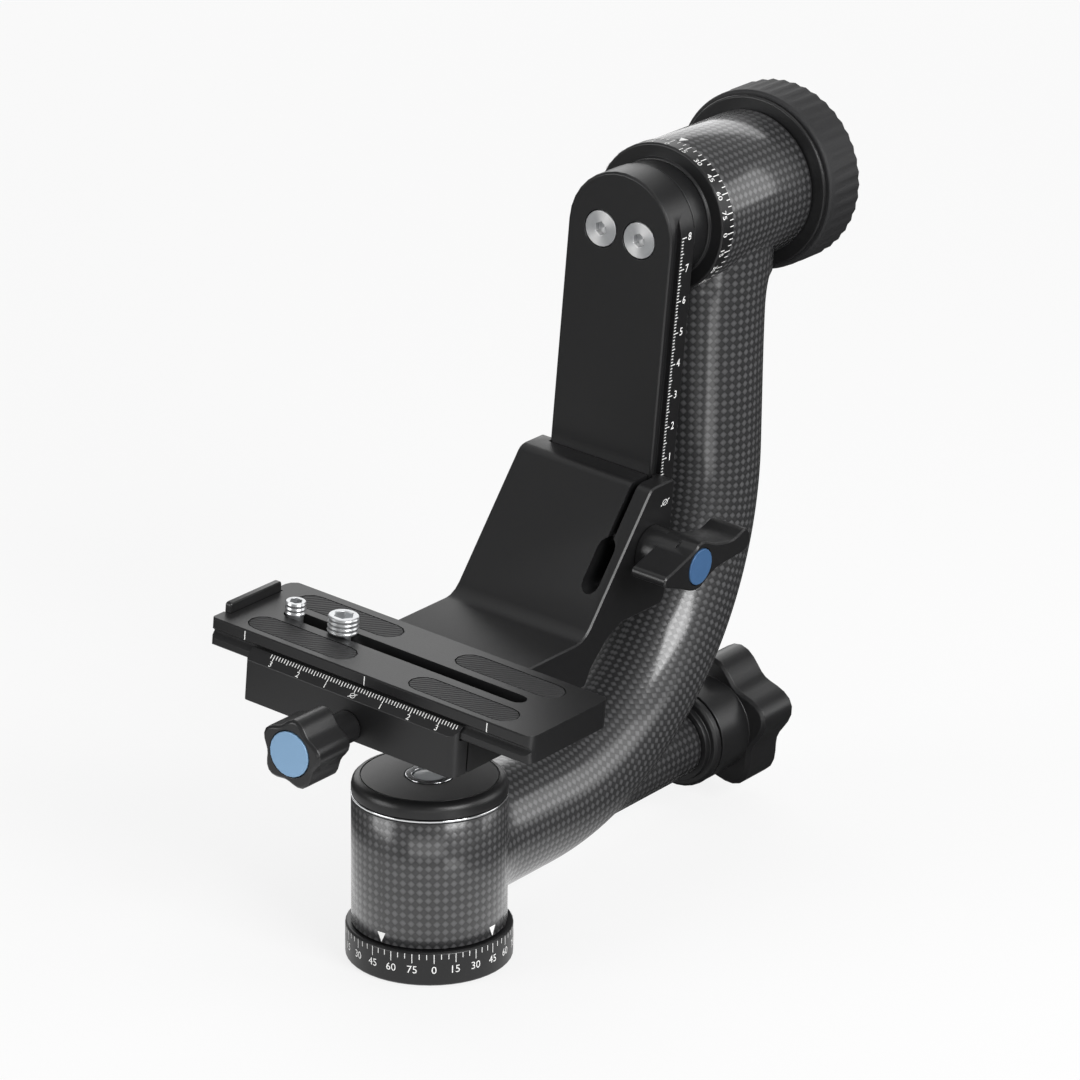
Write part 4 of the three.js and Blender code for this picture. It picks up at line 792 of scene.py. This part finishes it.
# Zero mark on the cradle's side
cradle_marks = Marks("marks_cradle_zero", "cradle_body")
ring_and_line(cradle_marks, (91.0, -77.9), 1.4, 0.95, cradle_side)
cradle_marks.make()

# Ruler on the jaw's bevel, numbered from the middle to 3 at each end
JAW_FEET, JAW_TOP, JAW_HALF_TICK = (2.2, 2.5, 2.8), 4.1, 0.13
JAW_DIGITS, JAW_DIGITS_AT = 1.7, 1.2
jaw_marks = Marks("marks_jaw_ruler", "jaw")
for millimetre in range(-31, 37):
    left, right = millimetre - JAW_HALF_TICK, millimetre + JAW_HALF_TICK
    jaw_marks.bar(left, right, by_rank(millimetre, *JAW_FEET), JAW_TOP, jaw_bevel)
    if millimetre and millimetre % 10 == 0:
        number = str(abs(millimetre) // 10)
        jaw_marks.text(number, JAW_DIGITS, (millimetre, JAW_DIGITS_AT), jaw_bevel)
ring_and_line(jaw_marks, (0.0, JAW_DIGITS_AT), 0.9, 0.8, jaw_bevel)
jaw_marks.make()

# Index marks on the plate's front edge
INDEX_FOOT, INDEX_TOP, INDEX_HALF_WIDTH = -105.5, -102.7, 0.16
plate_marks = Marks("marks_plate_index", "plate")
for along in (37.3, -6.4, -50.0):
    left, right = along - INDEX_HALF_WIDTH, along + INDEX_HALF_WIDTH
    plate_marks.bar(left, right, INDEX_FOOT, INDEX_TOP, plate_front)
plate_marks.make()


# Camera: placed and aimed as the photograph was taken
PHOTO_WIDTH, FOCAL_PIXELS, SENSOR_WIDTH = 1080, 5457.85, 36
CAMERA_TURN, CAMERA_RISE, CAMERA_ROLL = math.radians(-54.13), math.radians(20.21), math.radians(0.61)
CAMERA_BACK, CAMERA_RIGHT, CAMERA_UP = 1605.14, 32.58, 120.93


def camera_axes():
    """The camera's right, up and back as directions of the frame"""
    level = math.cos(CAMERA_RISE)
    back = Vector(
        (math.sin(CAMERA_TURN) * level, -math.cos(CAMERA_TURN) * level, math.sin(CAMERA_RISE))
    )
    right = Vector((math.cos(CAMERA_TURN), math.sin(CAMERA_TURN), 0))
    up = back.cross(right)
    rolled_right = right * math.cos(CAMERA_ROLL) + up * math.sin(CAMERA_ROLL)
    rolled_up = up * math.cos(CAMERA_ROLL) - right * math.sin(CAMERA_ROLL)
    return rolled_right, rolled_up, back


right, up, back = camera_axes()
camera_data = bpy.data.cameras.new("camera")
camera_data.sensor_width = SENSOR_WIDTH
camera_data.lens = FOCAL_PIXELS / PHOTO_WIDTH * SENSOR_WIDTH
camera_data.clip_start, camera_data.clip_end = 0.05, 50
camera = bpy.data.objects.new("camera", camera_data)
bpy.context.scene.collection.objects.link(camera)
camera_place = (CAMERA_BACK * back + CAMERA_RIGHT * right + CAMERA_UP * up) * MM
camera.matrix_world = Matrix.Translation(camera_place) @ (
    Matrix((right, up, back)).transposed().to_4x4()
)
bpy.context.scene.camera = camera

# Floor, which takes the shadow. Its size and place are in metres.
FLOOR_HALF, FLOOR_DROP = 6, 0.0002
floor_corners = [(u * FLOOR_HALF, v * FLOOR_HALF, 0) for u, v in ((-1, -1), (1, -1), (1, 1), (-1, 1))]
floor_mesh = bpy.data.meshes.new("floor")
floor_mesh.from_pydata(floor_corners, [], [(0, 1, 2, 3)])
floor = bpy.data.objects.new("floor", floor_mesh)
bpy.context.scene.collection.objects.link(floor)
floor.location.z = -FLOOR_DROP
floor_look = Shader("floor_paper")
floor_look.colour(floor_look.noise(3, 2), (0.90, 0.90, 0.90), (0.93, 0.93, 0.93))
floor_look.set("Roughness", 0.9)
floor_look.set("Specular IOR Level", 0.0)
floor_mesh.materials.append(floor_look.material)
floor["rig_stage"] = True


def ray(tree, kind):
    """1 for rays of that kind, 0 for all others"""
    return Num(tree, tree.nodes.new("ShaderNodeLightPath").outputs[kind])


def glow(tree, kind, strength):
    """White light of that strength, as an emission or a background"""
    node = tree.nodes.new(kind)
    node.inputs["Color"].default_value = (1, 1, 1, 1)
    feed(tree, strength, node.inputs["Strength"])
    return node.outputs[0]


def blend(tree, factor, first, second):
    mix = tree.nodes.new("ShaderNodeMixShader")
    feed(tree, factor, mix.inputs[0])
    tree.links.new(first, mix.inputs[1])
    tree.links.new(second, mix.inputs[2])
    return mix.outputs[0]


# The floor looks white to the camera and keeps a faint shadow. In reflections it is a bright sheet
# before the head, which fades outward, with a narrow brighter strip that draws the edges.
WHITE_SHARE = 0.8
SHEET_X, SHEET_REACH, SHEET_FADE, SHEET_LEAST, SHEET_GLOW = -140.0, 265.0, 75.0, 0.05, 0.85
STRIP_X, STRIP_Y, STRIP_AIM = 91.0, -19.0, (-0.58, -0.81)
STRIP_HALF_WIDTH, STRIP_NEAR, STRIP_FAR, STRIP_GLOW = 60.0, 240.0, 680.0, 2.5
floor_tree = floor_look.tree
floor_x, floor_y, _ = floor_look.place()
away = (floor_x - SHEET_X).distance(floor_y)
sheet = ((-away + SHEET_REACH) / SHEET_FADE).make("MINIMUM", 1.0).make("MAXIMUM", SHEET_LEAST)
strip_x, strip_y = floor_x - STRIP_X, floor_y - STRIP_Y
strip_along = strip_x * STRIP_AIM[0] + strip_y * STRIP_AIM[1]
strip_across = (strip_x * -STRIP_AIM[1] + strip_y * STRIP_AIM[0]).make("ABSOLUTE")
strip = strip_across.below(STRIP_HALF_WIDTH) * strip_along.above(STRIP_NEAR)
strip = strip * strip_along.below(STRIP_FAR)
mirrored = glow(floor_tree, "ShaderNodeEmission", sheet * SHEET_GLOW + strip * STRIP_GLOW)
white = glow(floor_tree, "ShaderNodeEmission", 1.0)
lit = floor_look.body.outputs[0]
seen = blend(floor_tree, ray(floor_tree, "Is Camera Ray") * WHITE_SHARE, lit, white)
floor_surface = blend(floor_tree, ray(floor_tree, "Is Glossy Ray"), seen, mirrored)
floor_tree.links.new(floor_surface, floor_tree.nodes["Material Output"].inputs["Surface"])

# A surround that is white to the camera and dim to the head
WORLD_GLOW = 0.18
world = bpy.data.worlds.new("studio")
bpy.context.scene.world = world
world.use_nodes = True
world_tree = world.node_tree
world_surface = blend(
    world_tree,
    ray(world_tree, "Is Camera Ray"),
    glow(world_tree, "ShaderNodeBackground", WORLD_GLOW),
    glow(world_tree, "ShaderNodeBackground", 1.0),
)
world_tree.links.new(world_surface, world_tree.nodes["World Output"].inputs["Surface"])


def soft_light(name, place, aim_x, size, power):
    """A rectangular light aimed at a point of the head 0.1 m above the floor"""
    data = bpy.data.lights.new(name, "AREA")
    data.shape = "RECTANGLE"
    data.size, data.size_y = size
    data.energy = power
    light = bpy.data.objects.new(name, data)
    bpy.context.scene.collection.objects.link(light)
    light.location = place
    aim = Vector((aim_x, 0, 0.1))
    light.rotation_euler = (aim - Vector(place)).to_track_quat("-Z", "Y").to_euler()
    light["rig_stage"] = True


# Place in metres, x of the point aimed at, width and height in metres, watts
soft_light("back_panel", (1.5, 1.1, 0.75), 0.0, (2.4, 1.2), 14)
soft_light("front_right", (-0.3, -1.3, 0.8), 0.05, (0.75, 0.7), 16)
soft_light("side_right", (1.0, -1.1, 0.55), 0.1, (0.9, 0.8), 5)
soft_light("front_low", (-1.1, -0.7, 0.15), 0.05, (1.2, 0.3), 2)
soft_light("top", (0.1, 0.0, 1.4), 0.05, (1.4, 1.4), 5)
soft_light("left", (-1.2, 0.8, 0.5), 0.05, (0.9, 0.7), 8)

bpy.context.scene.view_settings.view_transform = "Standard"

low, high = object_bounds()
